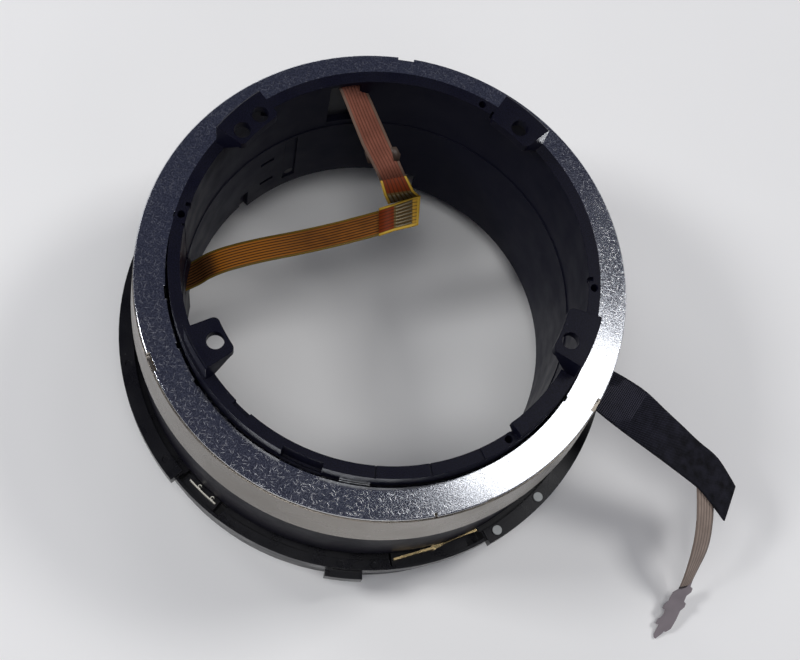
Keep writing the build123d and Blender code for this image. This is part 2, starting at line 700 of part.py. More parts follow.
def motor_housing():
    hub_in = TUBE_R + FIT
    seat = SKIRT_BASE + RETAINER_LIFT
    body = ring(
        (hub_in, WEB_LOW),
        (SKIRT_IN_R, WEB_LOW),
        (SKIRT_IN_R, SKIRT_BASE),
        (SKIRT_R, SKIRT_BASE),
        (SKIRT_R, WEB_LOW),
        (WALL_IN_R, WEB_LOW),
        (WALL_IN_R, WALL_LOW),
        (WALL_R, WALL_LOW),
        (WALL_R, WALL_TOP),
        (WALL_IN_R, WALL_TOP),
        (WALL_IN_R, WEB_TOP),
        (hub_in + HUB_WALL, WEB_TOP),
        (hub_in + HUB_WALL, WEB_TOP + HUB_RISE),
        (hub_in, WEB_TOP + HUB_RISE),
    )
    # Groove of the snap ring
    groove_r = SKIRT_R - RETAINER_SEAT - FIT
    cuts = [washer(groove_r, SKIRT_R + SIDE_RUN, seat - FIT, seat + RETAINER_THICK + FIT)]
    # Slots in the web that the drive keys travel in
    half = KEY_TRAVEL_DEGREES + KEY_DEGREES / 2 + KEY_SPARE_DEGREES
    slot = (KEY_IN_R - KEY_GAP, WALL_IN_R, WEB_LOW - CUT, WEB_TOP + CUT)
    cuts += [sector(azimuth - half, azimuth + half, *slot) for azimuth in KEY_AZIMUTHS]
    for azimuth in SCREW_AZIMUTHS:
        end = BORE_R + POCKET_DEPTH + SCREW_LENGTH + FIT
        cuts.append(radial_rod(azimuth, TUBE_R - CUT, end, SCREW_Z, SCREW_R + FIT / 2))
    cuts.append(flex_slot(MOTOR_FLEX_START, MOTOR_FLEX_AZIMUTH, MOTOR_FLEX_WIDTH, MOTOR_FLEX_ROUTE))
    return body - cuts


def housing_screws():
    screws = []
    for azimuth in SCREW_AZIMUTHS:
        start = BORE_R + POCKET_DEPTH
        head = radial_rod(azimuth, start, start + SCREW_HEAD, SCREW_Z, SCREW_HEAD_R)
        shank = radial_rod(azimuth, start + SCREW_HEAD / 2, start + SCREW_LENGTH, SCREW_Z, SCREW_R)
        screws.append(head + shank)
    return group(screws)


def retaining_ring():
    low = SKIRT_BASE + RETAINER_LIFT
    body = washer(SKIRT_R - RETAINER_SEAT, RETAINER_R, low, low + RETAINER_THICK)
    gap = (SKIRT_R - RETAINER_SEAT - CUT, RETAINER_R + CUT, low - CUT, low + RETAINER_THICK + CUT)
    return body - sector(0, RETAINER_GAP_DEGREES, *gap)


def output_ring():
    step = OUTPUT_HEIGHT - STEP_DROP
    body = ring(
        (SKIRT_R + RUN, SKIRT_LEDGE),
        (FOOT_IN_R, SKIRT_LEDGE),
        (FOOT_IN_R, 0),
        (FOOT_R, 0),
        (FOOT_R, FOOT_HEIGHT),
        (FLANGE_R, OUTPUT_HEIGHT - FLANGE_EDGE),
        (FLANGE_R, OUTPUT_HEIGHT),
        (FLANGE_IN_R, OUTPUT_HEIGHT),
        (FLANGE_IN_R, step),
        (SLEEVE_R, step),
        (SLEEVE_R, SLEEVE_TOP),
        (SKIRT_R + RUN, SLEEVE_TOP),
    )
    for span in SEGMENT_SPANS:
        body = body + sector(*span, FLANGE_IN_R, SEGMENT_R, OUTPUT_HEIGHT - SEGMENT_DEPTH, SEGMENT_TOP)
    tab_top = OUTPUT_HEIGHT - TAB_DROP
    body = body + sector(*TAB_SPAN, FLANGE_IN_R, TAB_R, tab_top - TAB_HEIGHT, tab_top)
    floor = OUTPUT_HEIGHT - NOTCH_FLOOR
    notch = (FLANGE_R - NOTCH_WALL - NOTCH_WIDTH, FLANGE_R - NOTCH_WALL)
    body = body - [sector(*span, *notch, floor, SEGMENT_TOP + CUT) for span in NOTCH_SPANS]
    for span in LEDGE_SPANS:
        body = body + sector(*span, *notch, floor, LEDGE_TOP)
    cuts = []
    cuts += [key_slot(azimuth) for azimuth in KEY_AZIMUTHS]
    for azimuth in SEGMENT_DIMPLE_AZIMUTHS:
        place = SEGMENT_R - SEGMENT_DIMPLE_INSET
        cuts.append(drill(azimuth, place, DIMPLE_R, SEGMENT_TOP - DIMPLE_DEPTH, SEGMENT_TOP + CUT))
    for azimuth in FLANGE_DIMPLE_AZIMUTHS:
        place = FLANGE_R - FLANGE_DIMPLE_INSET
        cuts.append(drill(azimuth, place, DIMPLE_R, OUTPUT_HEIGHT - DIMPLE_DEPTH, OUTPUT_HEIGHT + CUT))
    for azimuth in STAKE_AZIMUTHS:
        place = SEGMENT_R - STAKE_INSET
        cuts.append(drill(azimuth, place, STAKE_R + FIT / 2, SEGMENT_TOP - STAKE_DEPTH, SEGMENT_TOP + CUT))
    return body - cuts


def key_slot(azimuth):
    """Slot in the output ring's sleeve that holds a drive key."""
    half = KEY_DEGREES / 2 + math.degrees(FIT / KEY_IN_R)
    return sector(azimuth - half, azimuth + half, KEY_IN_R - FIT, SLEEVE_R, KEY_LOW - FIT, SLEEVE_TOP + CUT)


def notch_radius(share):
    """Radius in a notch of the output ring: share 0 at its inner side and 1 at its outer side."""
    return FLANGE_R - NOTCH_WALL - NOTCH_WIDTH * (1 - share)


def contact_strip():
    outer = notch_radius(STRIP_SHARE) + STRIP_THICK / 2
    inner = outer - STRIP_THICK
    body = sector(*STRIP_SPAN, inner, outer, LEDGE_TOP, LEDGE_TOP + STRIP_HEIGHT)
    for azimuth in CURL_AZIMUTHS:
        place = at(azimuth, inner - CURL_R + CURL_THICK / 2, LEDGE_TOP + CURL_HEIGHT / 2)
        curl = Cylinder(CURL_R, CURL_HEIGHT) - Cylinder(CURL_R - CURL_THICK, CURL_HEIGHT + CUT)
        # The curl is open on one side, where the spring's free end is
        mouth = Pos(0, CURL_R / 2 + CUT / 2, 0) * Box(CURL_R, CUT, CURL_HEIGHT + CUT)
        body = body + place * (curl - mouth)
    return body


def ledge_point(azimuth, share):
    return at(azimuth, notch_radius(share), LEDGE_TOP).position


def ledge_plane(start, end):
    """Plane on the ledge with X from one point to the other."""
    return Plane(origin=start, x_dir=end - start, z_dir=(0, 0, 1))


def brush_ends():
    return [ledge_point(azimuth, share) for azimuth, share in zip(BRUSH_SPAN, BRUSH_SHARES)]


def brush_plate():
    start, end = brush_ends()
    length = (end - start).length
    block = Box(length, BRUSH_THICK, BRUSH_HEIGHT)
    return ledge_plane(start, end) * Pos(length / 2, 0, BRUSH_HEIGHT / 2) * block


def brush_wires():
    """Wires that spread from a head beside the plate, join and end in a leaf."""
    start = brush_ends()[1]
    end = ledge_point(WIRE_END_AZIMUTH, WIRE_END_SHARE)
    length = (end - start).length
    spread = WIRE_PITCH * (WIRE_COUNT - 1) / 2
    half = WIRE_THICK / 2
    middle = FIT + WIRE_HEAD / 2
    join, leaf = WIRE_JOIN_SHARE * length, LEAF_SHARE * length
    faces = []
    for index in range(WIRE_COUNT):
        root = index * WIRE_PITCH - spread
        wire = [(middle, root - half), (join, -half), (join, half), (middle, root + half)]
        faces.append(make_face(Polyline(*wire, close=True)))
    stem = [(join - WIRE_THICK, -half), (leaf, -half), (length, -LEAF_WIDTH / 2)]
    faces.append(make_face(Polyline(*stem, *mirrored(stem), close=True)))
    face = Sketch() + faces
    wires = Pos(0, 0, BRUSH_HEIGHT - 2 * WIRE_THICK) * extrude(face, WIRE_THICK)
    width = 2 * spread + 2 * WIRE_THICK
    head = Pos(middle, 0, BRUSH_HEIGHT / 2) * Box(WIRE_HEAD, width, BRUSH_HEIGHT)
    return ledge_plane(start, end) * (head + wires)


def mirrored(points):
    """The same outline points on the other side of X, in the opposite order."""
    return [(along, -across) for along, across in reversed(points)]


def heat_stakes():
    stakes = []
    for azimuth in STAKE_AZIMUTHS:
        place = SEGMENT_R - STAKE_INSET
        stakes.append(drill(azimuth, place, STAKE_R, SEGMENT_TOP - STAKE_DEPTH, SEGMENT_TOP + STAKE_RISE))
    return group(stakes)


def corner_radii(route):
    """As large an arc at each corner of a route as its two runs allow."""
    points = [Vector(*point) for point in route]
    radii = []
    for before, here, after in zip(points, points[1:], points[2:]):
        turn = math.radians((here - before).get_angle(after - here))
        shorter = min((here - before).length, (after - here).length)
        radii.append(RADIUS_SHARE * shorter / math.tan(turn / 2))
    return radii


def ribbon(name, start, azimuth, route, width, thick):
    """Flat strip along a route of (distance, height) in the upright plane at that azimuth."""
    points = [(distance, 0, height) for distance, height in route]
    radii = corner_radii(points)
    path = FilletPolyline(*points, radius=radii)
    section = Plane(origin=path @ 0, x_dir=(0, 1, 0), z_dir=path % 0) * Rectangle(width, thick)
    strip = sweep(section, path=path)
    share = strip.volume / (width * thick * path.length)
    print(name, "length", round(path.length, 2), "radii", [round(radius, 1) for radius in radii])
    print(name, "volume as a share of section times length", round(share, 4))
    return Pos(*start, 0) * Rot(0, 0, azimuth) * strip


def route_end(start, azimuth, route):
    """Frame at the end of a route, X along its last run and Y level."""
    (before, low), (after, high) = route[-2:]
    slope = math.degrees(math.atan2(high - low, after - before))
    return Pos(*start, 0) * Rot(0, 0, azimuth) * Pos(after, 0, high) * Rot(0, -slope, 0)


def position_flex():
    place = (POSITION_FLEX_START, POSITION_FLEX_AZIMUTH, POSITION_FLEX_ROUTE)
    return ribbon("position_flex", *place, POSITION_FLEX_WIDTH, FLEX_THICK)


def position_flex_pads():
    end = route_end(POSITION_FLEX_START, POSITION_FLEX_AZIMUTH, POSITION_FLEX_ROUTE)
    return end * Pos(POSITION_PAD_LENGTH / 2, 0, 0) * Box(POSITION_PAD_LENGTH, PAD_WIDTH, PAD_THICK)


def board_flex():
    place = (BOARD_FLEX_START, BOARD_FLEX_AZIMUTH, BOARD_FLEX_ROUTE)
    return ribbon("board_flex", *place, BOARD_FLEX_WIDTH, FLEX_THICK)


def board_flex_pads():
    distance, height = BOARD_FLEX_ROUTE[-1]
    end = Pos(*BOARD_FLEX_START, 0) * Rot(0, 0, BOARD_FLEX_AZIMUTH) * Pos(distance, 0, height)
    end = end * Rot(0, 0, BOARD_PAD_TURN_DEGREES) * Rot(0, BOARD_PAD_SLOPE_DEGREES, 0)
    return end * Pos(BOARD_PAD_LENGTH / 2, 0, 0) * Box(BOARD_PAD_LENGTH, PAD_WIDTH, PAD_THICK)


def leg_frame():
    """Frame at the end of the first run of the motor circuit, X along its second run."""
    end = route_end(MOTOR_FLEX_START, MOTOR_FLEX_AZIMUTH, MOTOR_FLEX_ROUTE)
    return end * Rot(0, 0, -MOTOR_LEG_TURN_DEGREES)


def motor_flex():
    sizes = (MOTOR_FLEX_WIDTH, FLEX_THICK)
    first = ribbon("motor_flex first run", MOTOR_FLEX_START, MOTOR_FLEX_AZIMUTH, MOTOR_FLEX_ROUTE, *sizes)
    second = ribbon("motor_flex second run", (0, 0), 0, MOTOR_LEG_ROUTE, *sizes)
    return first + leg_frame() * second


def motor_flex_tip():
    distance, height = MOTOR_LEG_ROUTE[-1]
    joint = (leg_frame() * Pos(distance, 0, height)).position
    end = Vector(*TIP_END)
    along = (end - joint).normalized()
    start = joint - along * TIP_LAP
    length = (end - start).length
    outline = [(length * share, TIP_WIDTH * across) for share, across in TIP_SHARES]
    plate = make_face(Polyline(*outline, close=True))
    upright = Vector(along.Y, -along.X, 0).cross(along)
    return extrude(Plane(origin=start, x_dir=along, z_dir=upright) * plate, TIP_THICK / 2, both=True)


def cloth_tape():
    lifted = [(distance, height + TAPE_LIFT) for distance, height in TAPE_ROUTE]
    return ribbon("cloth_tape", MOTOR_FLEX_START, MOTOR_FLEX_AZIMUTH, lifted, TAPE_WIDTH, TAPE_THICK)


NODES = {
    "barrel": barrel,
    "sensor_board": sensor_board,
    "thrust_plate": thrust_plate,
    "manual_ring": manual_ring,
    "race_balls": race_balls,
    "ball_cage": ball_cage,
    "roller_1": lambda: roller(ROLLER_AZIMUTHS[0]),
    "roller_2": lambda: roller(ROLLER_AZIMUTHS[1]),
    "roller_3": lambda: roller(ROLLER_AZIMUTHS[2]),
    "roller_axles": roller_axles,
    "roller_carrier": roller_carrier,
    "drive_keys": drive_keys,
    "rotor": rotor,
    "stator": stator,
    "piezo_ring": lambda: stack_ring(PIEZO_LOW, PIEZO_THICK),
    "felt_ring": lambda: stack_ring(FELT_LOW, FELT_THICK),
    "spring_washer": spring_washer,
    "motor_housing": motor_housing,
    "housing_screws": housing_screws,
    "retaining_ring": retaining_ring,
    "output_ring": output_ring,
    "contact_strip": contact_strip,
    "brush_plate": brush_plate,
    "brush_wires": brush_wires,
    "heat_stakes": heat_stakes,
    "position_flex": position_flex,
    "position_flex_pads": position_flex_pads,
    "board_flex": board_flex,
    "board_flex_pads": board_flex_pads,
    "motor_flex": motor_flex,
    "motor_flex_tip": motor_flex_tip,
    "cloth_tape": cloth_tape,
}

os.makedirs("parts", exist_ok=True)
for name, make in NODES.items():
    piece = make()
    export_step(piece, f"parts/{name}.step")
    print(name, len(piece.solids()), "solids")
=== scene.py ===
import math

import bmesh
import bpy
from bpy.props import FloatProperty, FloatVectorProperty, IntProperty, PointerProperty
from mathutils import Matrix, Vector


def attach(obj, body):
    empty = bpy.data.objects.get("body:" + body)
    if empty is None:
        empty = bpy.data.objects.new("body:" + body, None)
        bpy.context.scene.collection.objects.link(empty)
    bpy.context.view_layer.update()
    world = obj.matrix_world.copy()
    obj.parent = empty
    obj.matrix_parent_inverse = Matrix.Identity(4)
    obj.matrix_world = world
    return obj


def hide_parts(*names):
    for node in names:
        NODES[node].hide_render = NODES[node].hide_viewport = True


bl_info = {
    "name": "Focus drive unit",
    "version": (1, 0, 0),
    "blender": (4, 5, 0),
    "location": "View3D > Sidebar > Drive unit",
    "description": "Finishes, flexible circuits and small fittings of a lens focus drive unit",
    "category": "Object",
}

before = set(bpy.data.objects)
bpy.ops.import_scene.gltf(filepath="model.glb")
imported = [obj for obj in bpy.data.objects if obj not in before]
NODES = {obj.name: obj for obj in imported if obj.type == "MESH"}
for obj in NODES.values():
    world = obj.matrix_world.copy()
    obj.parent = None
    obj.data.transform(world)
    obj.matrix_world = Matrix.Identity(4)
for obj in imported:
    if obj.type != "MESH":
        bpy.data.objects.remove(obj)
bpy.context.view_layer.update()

# Flexible circuits and tape, in metres and degrees. A START and an AZIMUTH place a line on the
# floor plan, and a ROUTE is the distance along it and the height. LEG_ROUTE goes on in the plane
# of the last slope, turned by LEG_TURN. EDGES, EARS and END are cross lines of a strip: pairs of
# places on its two edges.
ORANGE_START = (-0.02781, -0.0062)
ORANGE_AZIMUTH = 38.0
ORANGE_ROUTE = [
    (-0.0015, 0.0196),
    (0.0008, 0.0203),
    (0.0039, 0.0237),
    (0.0100, 0.0244),
    (0.0190, 0.0232),
    (0.0275, 0.0233),
    (0.0318, 0.0239),
]
COPPER_EDGES = [
    ((-0.01680, 0.02395, 0.03745), (-0.01362, 0.02652, 0.03735)),
    ((-0.01624, 0.02349, 0.03730), (-0.01318, 0.02620, 0.03685)),
    ((-0.01462, 0.02229, 0.03590), (-0.01271, 0.02588, 0.03590)),
    ((-0.01303, 0.02098, 0.03460), (-0.01101, 0.02461, 0.03460)),
    ((-0.01057, 0.01919, 0.03220), (-0.00845, 0.02296, 0.03220)),
    ((-0.00905, 0.01833, 0.03090), (-0.00662, 0.02158, 0.03090)),
    ((-0.00751, 0.01744, 0.02960), (-0.00488, 0.02053, 0.02960)),
    ((-0.00623, 0.01661, 0.02830), (-0.00294, 0.01908, 0.02830)),
]
COPPER_EARS = [
    [
        ((-0.00998, 0.01891, 0.03110), (-0.00909, 0.01899, 0.03110)),
        ((-0.00887, 0.01776, 0.03020), (-0.00792, 0.01810, 0.03020)),
    ],
    [
        ((-0.00699, 0.02118, 0.03080), (-0.00586, 0.02176, 0.03080)),
        ((-0.00606, 0.02062, 0.03025), (-0.00486, 0.02113, 0.03025)),
        ((-0.00543, 0.01997, 0.02980), (-0.00471, 0.02029, 0.02980)),
    ],
]
COPPER_END = [
    ((-0.00625, 0.01664, 0.02840), (-0.00289, 0.01905, 0.02840)),
    ((-0.00501, 0.01586, 0.02600), (-0.00103, 0.01836, 0.02600)),
    ((-0.00396, 0.01517, 0.02500), (-0.00004, 0.01848, 0.02500)),
]
ORANGE_END = [
    ((-0.00340, 0.01001, 0.02415), (-0.00504, 0.01431, 0.02415)),
    ((-0.00156, 0.01163, 0.02440), (-0.00317, 0.01592, 0.02440)),
    ((0.00080, 0.01335, 0.02465), (-0.00087, 0.01806, 0.02465)),
    ((0.00153, 0.01391, 0.02475), (0.00014, 0.01863, 0.02475)),
]
BEIGE_START = (0.0355, 0.0020)
BEIGE_AZIMUTH = -14.0
BEIGE_ROUTE = [
    (-0.00125, 0.0199),
    (0.0022, 0.0207),
    (0.0066, 0.0210),
    (0.0124, 0.0198),
    (0.0180, 0.0176),
    (0.0220, 0.0157),
]
LEG_TURN = 45.4
LEG_ROUTE = [
    (0.0022, -0.0001),
    (0.0066, -0.0006),
    (0.0112, -0.0021),
    (0.0152, -0.0048),
    (0.0182, -0.0070),
]
TAPE_EDGES = [
    ((0.03475, -0.00133, 0.02140), (0.03579, 0.00509, 0.02140)),
    ((0.03690, -0.00233, 0.02180), (0.03744, 0.00469, 0.02180)),
    ((0.03957, -0.00329, 0.02200), (0.04015, 0.00420, 0.02200)),
    ((0.04249, -0.00398, 0.02160), (0.04322, 0.00367, 0.02160)),
    ((0.04567, -0.00454, 0.02080), (0.04670, 0.00241, 0.02080)),
    ((0.04921, -0.00490, 0.01930), (0.05054, 0.00152, 0.01930)),
    ((0.05302, -0.00532, 0.01760), (0.05398, 0.00074, 0.01760)),
    ((0.05675, -0.00570, 0.01580), (0.05757, 0.00046, 0.01580)),
    ((0.05979, -0.00672, 0.01400), (0.06030, -0.00063, 0.01400)),
    ((0.06266, -0.00791, 0.01240), (0.06282, -0.00198, 0.01240)),
]


# Share of the width on each side without conductors
ORANGE_MARGIN = 0.07
COPPER_MARGIN = 0.09
BEIGE_MARGIN = 0.08
END_MARGIN = 0.09

# Linear colours of lines, edges and zones in the films
ORANGE_LINE = (0.028, 0.009, 0.003)
ORANGE_EDGE = (0.15, 0.095, 0.016)
COPPER_EDGE = (0.19, 0.125, 0.095)
END_YELLOW = (0.34, 0.19, 0.022)
END_BORDER = (0.46, 0.29, 0.040)
END_STUB = (0.10, 0.060, 0.015)
END_RED = (0.140, 0.022, 0.004)
END_RED_LINE = (0.060, 0.014, 0.004)
END_TIN = (0.100, 0.068, 0.026)
END_DARK = (0.045, 0.024, 0.006)

# Millimetres along the orange circuit from, to and blurred over, then line and body colours.
# The first zone is a brighter golden film, partly its own tone and partly painted light from a
# lamp;
# the second is painted shade where the strip leaves the wall.
ORANGE_LIGHT_ZONES = [
    (4.0, 18.0, 3.5, (0.045, 0.014, 0.003), (0.34, 0.118, 0.010)),
    (-1.0, 7.0, 0.8, (0.010, 0.005, 0.003), (0.100, 0.040, 0.013)),
]

# Scratches of the thrust plate: angle in radians, cell length and width, and reach in the cell
STEEL_SCRATCHES = [
    (0.35, 0.0050, 0.00044, 0.09),
    (1.15, 0.0036, 0.00036, 0.09),
    (1.75, 0.0060, 0.00050, 0.08),
    (2.45, 0.0042, 0.00040, 0.09),
    (3.00, 0.0052, 0.00044, 0.08),
]

# Camera: the directions of its right, up and back, and its place
CAMERA_AXES = [
    Vector((0.9285, 0.3488, 0.1276)),
    Vector((-0.3714, 0.8720, 0.3191)),
    Vector((0.0, -0.3437, 0.9391)),
]
CAMERA_PLACE = (0.00487, -0.07066, 0.2096)

# Soft boxes: lean from the vertical and azimuth, size, setting with the power, and colour
WHITE = (1.0, 1.0, 1.0)
BOXES = [
    ("left box", (45.0, 196.0), (0.13, 0.13), "left", WHITE),
    ("side box", (45.0, 160.0), (0.13, 0.13), "side", WHITE),
    ("right box", (37.0, 42.0), (0.14, 0.14), "right", (1.0, 0.99, 0.98)),
    ("box above", (14.0, 270.0), (0.26, 0.20), "above", WHITE),
    ("front box", (50.0, 315.0), (0.20, 0.20), "front", WHITE),
    ("rear box", (66.0, 120.0), (0.20, 0.20), "rear", WHITE),
    ("panel", (20.0, 55.0), (0.11, 0.10), "panel", WHITE),
]
BOX_REACH = 0.6
BOX_TARGET = (0.0, 0.0, 0.02)
PANEL_PLACE = (0.105, 0.150, 0.50)
ROOM_LIGHT = (0.038, 0.041, 0.066)
ROOM_SEEN = (0.60, 0.60, 0.62)


def number_setting(name, description, value, unit="NONE"):
    return FloatProperty(name=name, description=description, default=value, unit=unit)


def length_setting(name, description, value):
    return number_setting(name, description, value, "LENGTH")


def count_setting(name, description, value):
    return IntProperty(name=name, description=description, default=value, min=1)


def colour_setting(name, description, value):
    return FloatVectorProperty(
        name=name, description=description, subtype="COLOR", size=3, min=0.0, max=1.0, default=value
    )


class UnitSizes(bpy.types.PropertyGroup):
    """Sizes of the flexible circuits and the tape."""

    flex_thick: length_setting("Film thickness", "Thickness of a flexible circuit", 0.00012)
    ridge_height: length_setting("Ridge height", "Height of a conductor's ridge", 0.00003)
    orange_width: length_setting("Orange circuit width", "Width of the orange circuit", 0.0039)
    beige_width: length_setting("Beige circuit width", "Width of the beige circuit", 0.0033)
    end_thick: length_setting("Bare end thickness", "Thickness of a circuit's bare end", 0.00016)
    pad_rise: length_setting("Pad rise", "Height of a solder pad", 0.00006)
    seam_width: length_setting("Seam width", "Width of the dark seam at the tip", 0.00035)
    tape_thick: length_setting("Tape thickness", "Thickness of the cloth tape", 0.0003)
    tape_pitch: length_setting("Weave pitch", "Distance between the ribs of the cloth", 0.00028)
    ribbed_length: length_setting("Ribbed length", "Length of tape with raised ribs", 0.0075)
    orange_traces: count_setting("Orange traces", "Conductors in the orange circuit", 8)
    copper_traces: count_setting("Copper traces", "Conductors in the copper circuit", 7)
    beige_traces: count_setting("Beige traces", "Conductors in the beige circuit", 5)
    orange_pads: count_setting("Orange pads", "Bare pads at the orange circuit's end", 7)
    copper_pads: count_setting("Copper pads", "Bare pads at the copper circuit's end", 6)


class UnitColours(bpy.types.PropertyGroup):
    """Colours of the finishes, linear."""

    moulding: colour_setting("Black moulding", "Plastic of the barrel", (0.0026, 0.0027, 0.0070))
    base: colour_setting("Base moulding", "Plastic of the output ring", (0.0030, 0.0030, 0.0048))
    housing: colour_setting("Housing", "Coat of the motor housing", (0.0045, 0.0040, 0.0085))
    steel: colour_setting("Polished steel", "Steel of the thrust plate", (0.62, 0.64, 0.68))
    champagne: colour_setting("Champagne", "Metal of the manual ring", (0.235, 0.210, 0.180))
    amber: colour_setting("Amber film", "Film of the orange circuit", (0.170, 0.058, 0.006))
    copper: colour_setting("Copper film", "Film of the copper circuit", (0.215, 0.078, 0.052))
    ear: colour_setting("Ear film", "Film of the copper circuit's ears", (0.055, 0.036, 0.027))
    solder: colour_setting("Solder", "Solder of the pads", (0.135, 0.112, 0.072))
    beige: colour_setting("Beige film", "Film of the beige circuit", (0.33, 0.26, 0.22))
    tip: colour_setting("Circuit tip", "Stiff end of the beige circuit", (0.21, 0.18, 0.197))
    seam: colour_setting("Seam", "Dark seam at the tip", (0.030, 0.024, 0.024))
    cloth: colour_setting("Tape cloth", "Black cloth of the tape", (0.0070, 0.0070, 0.0110))
    gold: colour_setting("Gold", "Plating of the brush", (0.86, 0.66, 0.34))
    silver: colour_setting("Silver", "Plating of the contacts", (0.80, 0.77, 0.68))
    stake: colour_setting("Stakes", "Plastic of the heat stakes", (0.36, 0.38, 0.38))
    board: colour_setting("Board", "Board in the barrel's window", (0.028, 0.030, 0.036))
    screw: colour_setting("Screws", "Dark steel of the screws", (0.020, 0.020, 0.024))
    spring: colour_setting("Spring steel", "Steel of snap ring and washer", (0.40, 0.40, 0.42))
    bearing: colour_setting("Bearing steel", "Balls, rollers and keys", (0.56, 0.57, 0.60))
    aluminium: colour_setting("Aluminium", "Rotor and roller carrier", (0.60, 0.60, 0.60))
    brass: colour_setting("Brass", "Ball cage", (0.66, 0.47, 0.20))
    stator: colour_setting("Stator", "Steel of the stator", (0.42, 0.43, 0.45))
    ceramic: colour_setting("Ceramic", "Piezo ring", (0.42, 0.38, 0.30))
    felt: colour_setting("Felt", "Felt ring", (0.62, 0.61, 0.56))
    floor: colour_setting("Floor", "Plain pale floor", (0.88, 0.88, 0.88))


class StageSizes(bpy.types.PropertyGroup):
    """Lamp powers, camera length and floor of the stage."""

    lens: number_setting("Lens", "Focal length of the camera", 59.85, "CAMERA")
    left: number_setting("Left lamp", "Power of the left soft box", 1.25, "POWER")
    side: number_setting("Side lamp", "Power of the left rear soft box", 0.25, "POWER")
    right: number_setting("Right lamp", "Power of the right rear soft box", 1.05, "POWER")
    above: number_setting("Lamp above", "Power of the box by the camera", 0.90, "POWER")
    front: number_setting("Front lamp", "Power of the front right box", 0.20, "POWER")
    rear: number_setting("Rear lamp", "Power of the low rear box", 0.28, "POWER")
    panel: number_setting("Panel", "Power of the panel that the plate mirrors", 0.11, "POWER")
    floor: length_setting("Floor", "Radius of the round floor", 0.42)
    room: number_setting("Room", "Strength of the room's own light", 1.0)


def sizes():
    return bpy.context.scene.unit_sizes


def tint(name):
    """A colour from the settings."""
    return tuple(getattr(bpy.context.scene.unit_colours, name))


# Node trees and finishes


def shaded(base, share):
    """A colour made darker or brighter by a factor."""
    return tuple(part * share for part in base)


class Tree:
    """Node tree built with short calls."""

    # The colour sockets of a mix node
    mix_colours = (6, 7)
    mix_result = 2

    def __init__(self, tree):
        self.tree = tree

    def add(self, kind, inputs=None, **settings):
        node = self.tree.nodes.new(kind)
        for key, value in settings.items():
            setattr(node, key, value)
        for key, value in (inputs or {}).items():
            self.feed(node.inputs[key], value)
        return node

    def feed(self, socket, value):
        if isinstance(value, bpy.types.NodeSocket):
            self.tree.links.new(value, socket)
        else:
            socket.default_value = value

    def mix(self, factor, first, second):
        node = self.add("ShaderNodeMix", {0: factor}, data_type="RGBA")
        for index, value in zip(self.mix_colours, (first, second)):
            plain_colour = not isinstance(value, bpy.types.NodeSocket)
            self.feed(node.inputs[index], (*value, 1.0) if plain_colour else value)
        return node.outputs[self.mix_result]


class Finish(Tree):
    """One procedural material."""

    # The range that a noise texture mostly keeps to
    cloud_range = (0.3, 0.7)

    def __init__(self, name, base, roughness, metallic=0.0):
        self.material = bpy.data.materials.new(name)
        self.material.use_nodes = True
        super().__init__(self.material.node_tree)
        self.shader = self.tree.nodes["Principled BSDF"]
        self.place = self.add("ShaderNodeTexCoord").outputs["Object"]
        self.set(Base_Color=(*base, 1.0), Roughness=roughness, Metallic=metallic)

    def set(self, **inputs):
        """Feed the shader's own sockets, named with underscores for spaces."""
        for key, value in inputs.items():
            self.feed(self.shader.inputs[key.replace("_", " ")], value)

    def span(self, value, low, high, to_low=0.0, to_high=1.0):
        """The value moved from one range to another, and held within it."""
        names = ("Value", "From Min", "From Max", "To Min", "To Max")
        inputs = dict(zip(names, (value, low, high, to_low, to_high)))
        return self.add("ShaderNodeMapRange", inputs).outputs["Result"]

    def patches(self, pattern, low=0.0, high=1.0):
        """A value that goes from low to high with a cloudy pattern."""
        return self.span(pattern, *self.cloud_range, low, high)

    def math(self, operation, first, second=0.0):
        return self.add("ShaderNodeMath", {0: first, 1: second}, operation=operation).outputs[0]

    def stretched(self, angle, length, width, height=1.0):
        """Object coordinates measured in cells of that size, turned by that angle."""
        inputs = {
            "Vector": self.place,
            "Rotation": (0.0, 0.0, angle),
            "Scale": (length, width, height),
        }
        return self.add("ShaderNodeMapping", inputs, vector_type="TEXTURE").outputs[0]

    def grain(self, size, detail=2.0, place=None):
        """Cloudy pattern with patches about that size across."""
        inputs = {"Vector": place or self.place, "Scale": 1.0 / size, "Detail": detail}
        return self.add("ShaderNodeTexNoise", inputs).outputs["Fac"]

    def specks(self, size, reach):
        """1 in scattered dots, one to a cell of that size, 0 between."""
        cells = self.add("ShaderNodeTexVoronoi", {"Vector": self.place, "Scale": 1.0 / size})
        return self.span(cells.outputs["Distance"], reach, reach * 0.5)

    def scratches(self, angle, length, width, reach):
        """1 in short straight lines, one to a cell of that length and width, 0 between."""
        inputs = {"Vector": self.stretched(angle, length, width), "Scale": 1.0}
        cells = self.add("ShaderNodeTexVoronoi", inputs, voronoi_dimensions="2D")
        return self.span(cells.outputs["Distance"], reach, reach * 0.4)

    def either(self, *masks):
        total = masks[0]
        for mask in masks[1:]:
            total = self.math("MAXIMUM", total, mask)
        return total

    def off_centre(self, across):
        """Distance from the middle of a strip, as a share of its width."""
        return self.math("ABSOLUTE", self.math("SUBTRACT", across, 0.5))

    def upward(self, walls):
        """1 where the surface faces up, the given share on walls."""
        normal = self.add("ShaderNodeTexCoord").outputs["Normal"]
        height = self.add("ShaderNodeSeparateXYZ", {"Vector": normal}).outputs["Z"]
        return self.span(height, 0.2, 0.7, walls, 1.0)

    def bump(self, height, depth, strength, edge=0.0):
        """Relief too fine for geometry, over edges worn round by that radius."""
        inputs = {"Height": height, "Distance": depth, "Strength": strength}
        if edge:
            worn = self.add("ShaderNodeBevel", {"Radius": edge}, samples=4)
            inputs["Normal"] = worn.outputs["Normal"]
        self.set(Normal=self.add("ShaderNodeBump", inputs).outputs["Normal"])


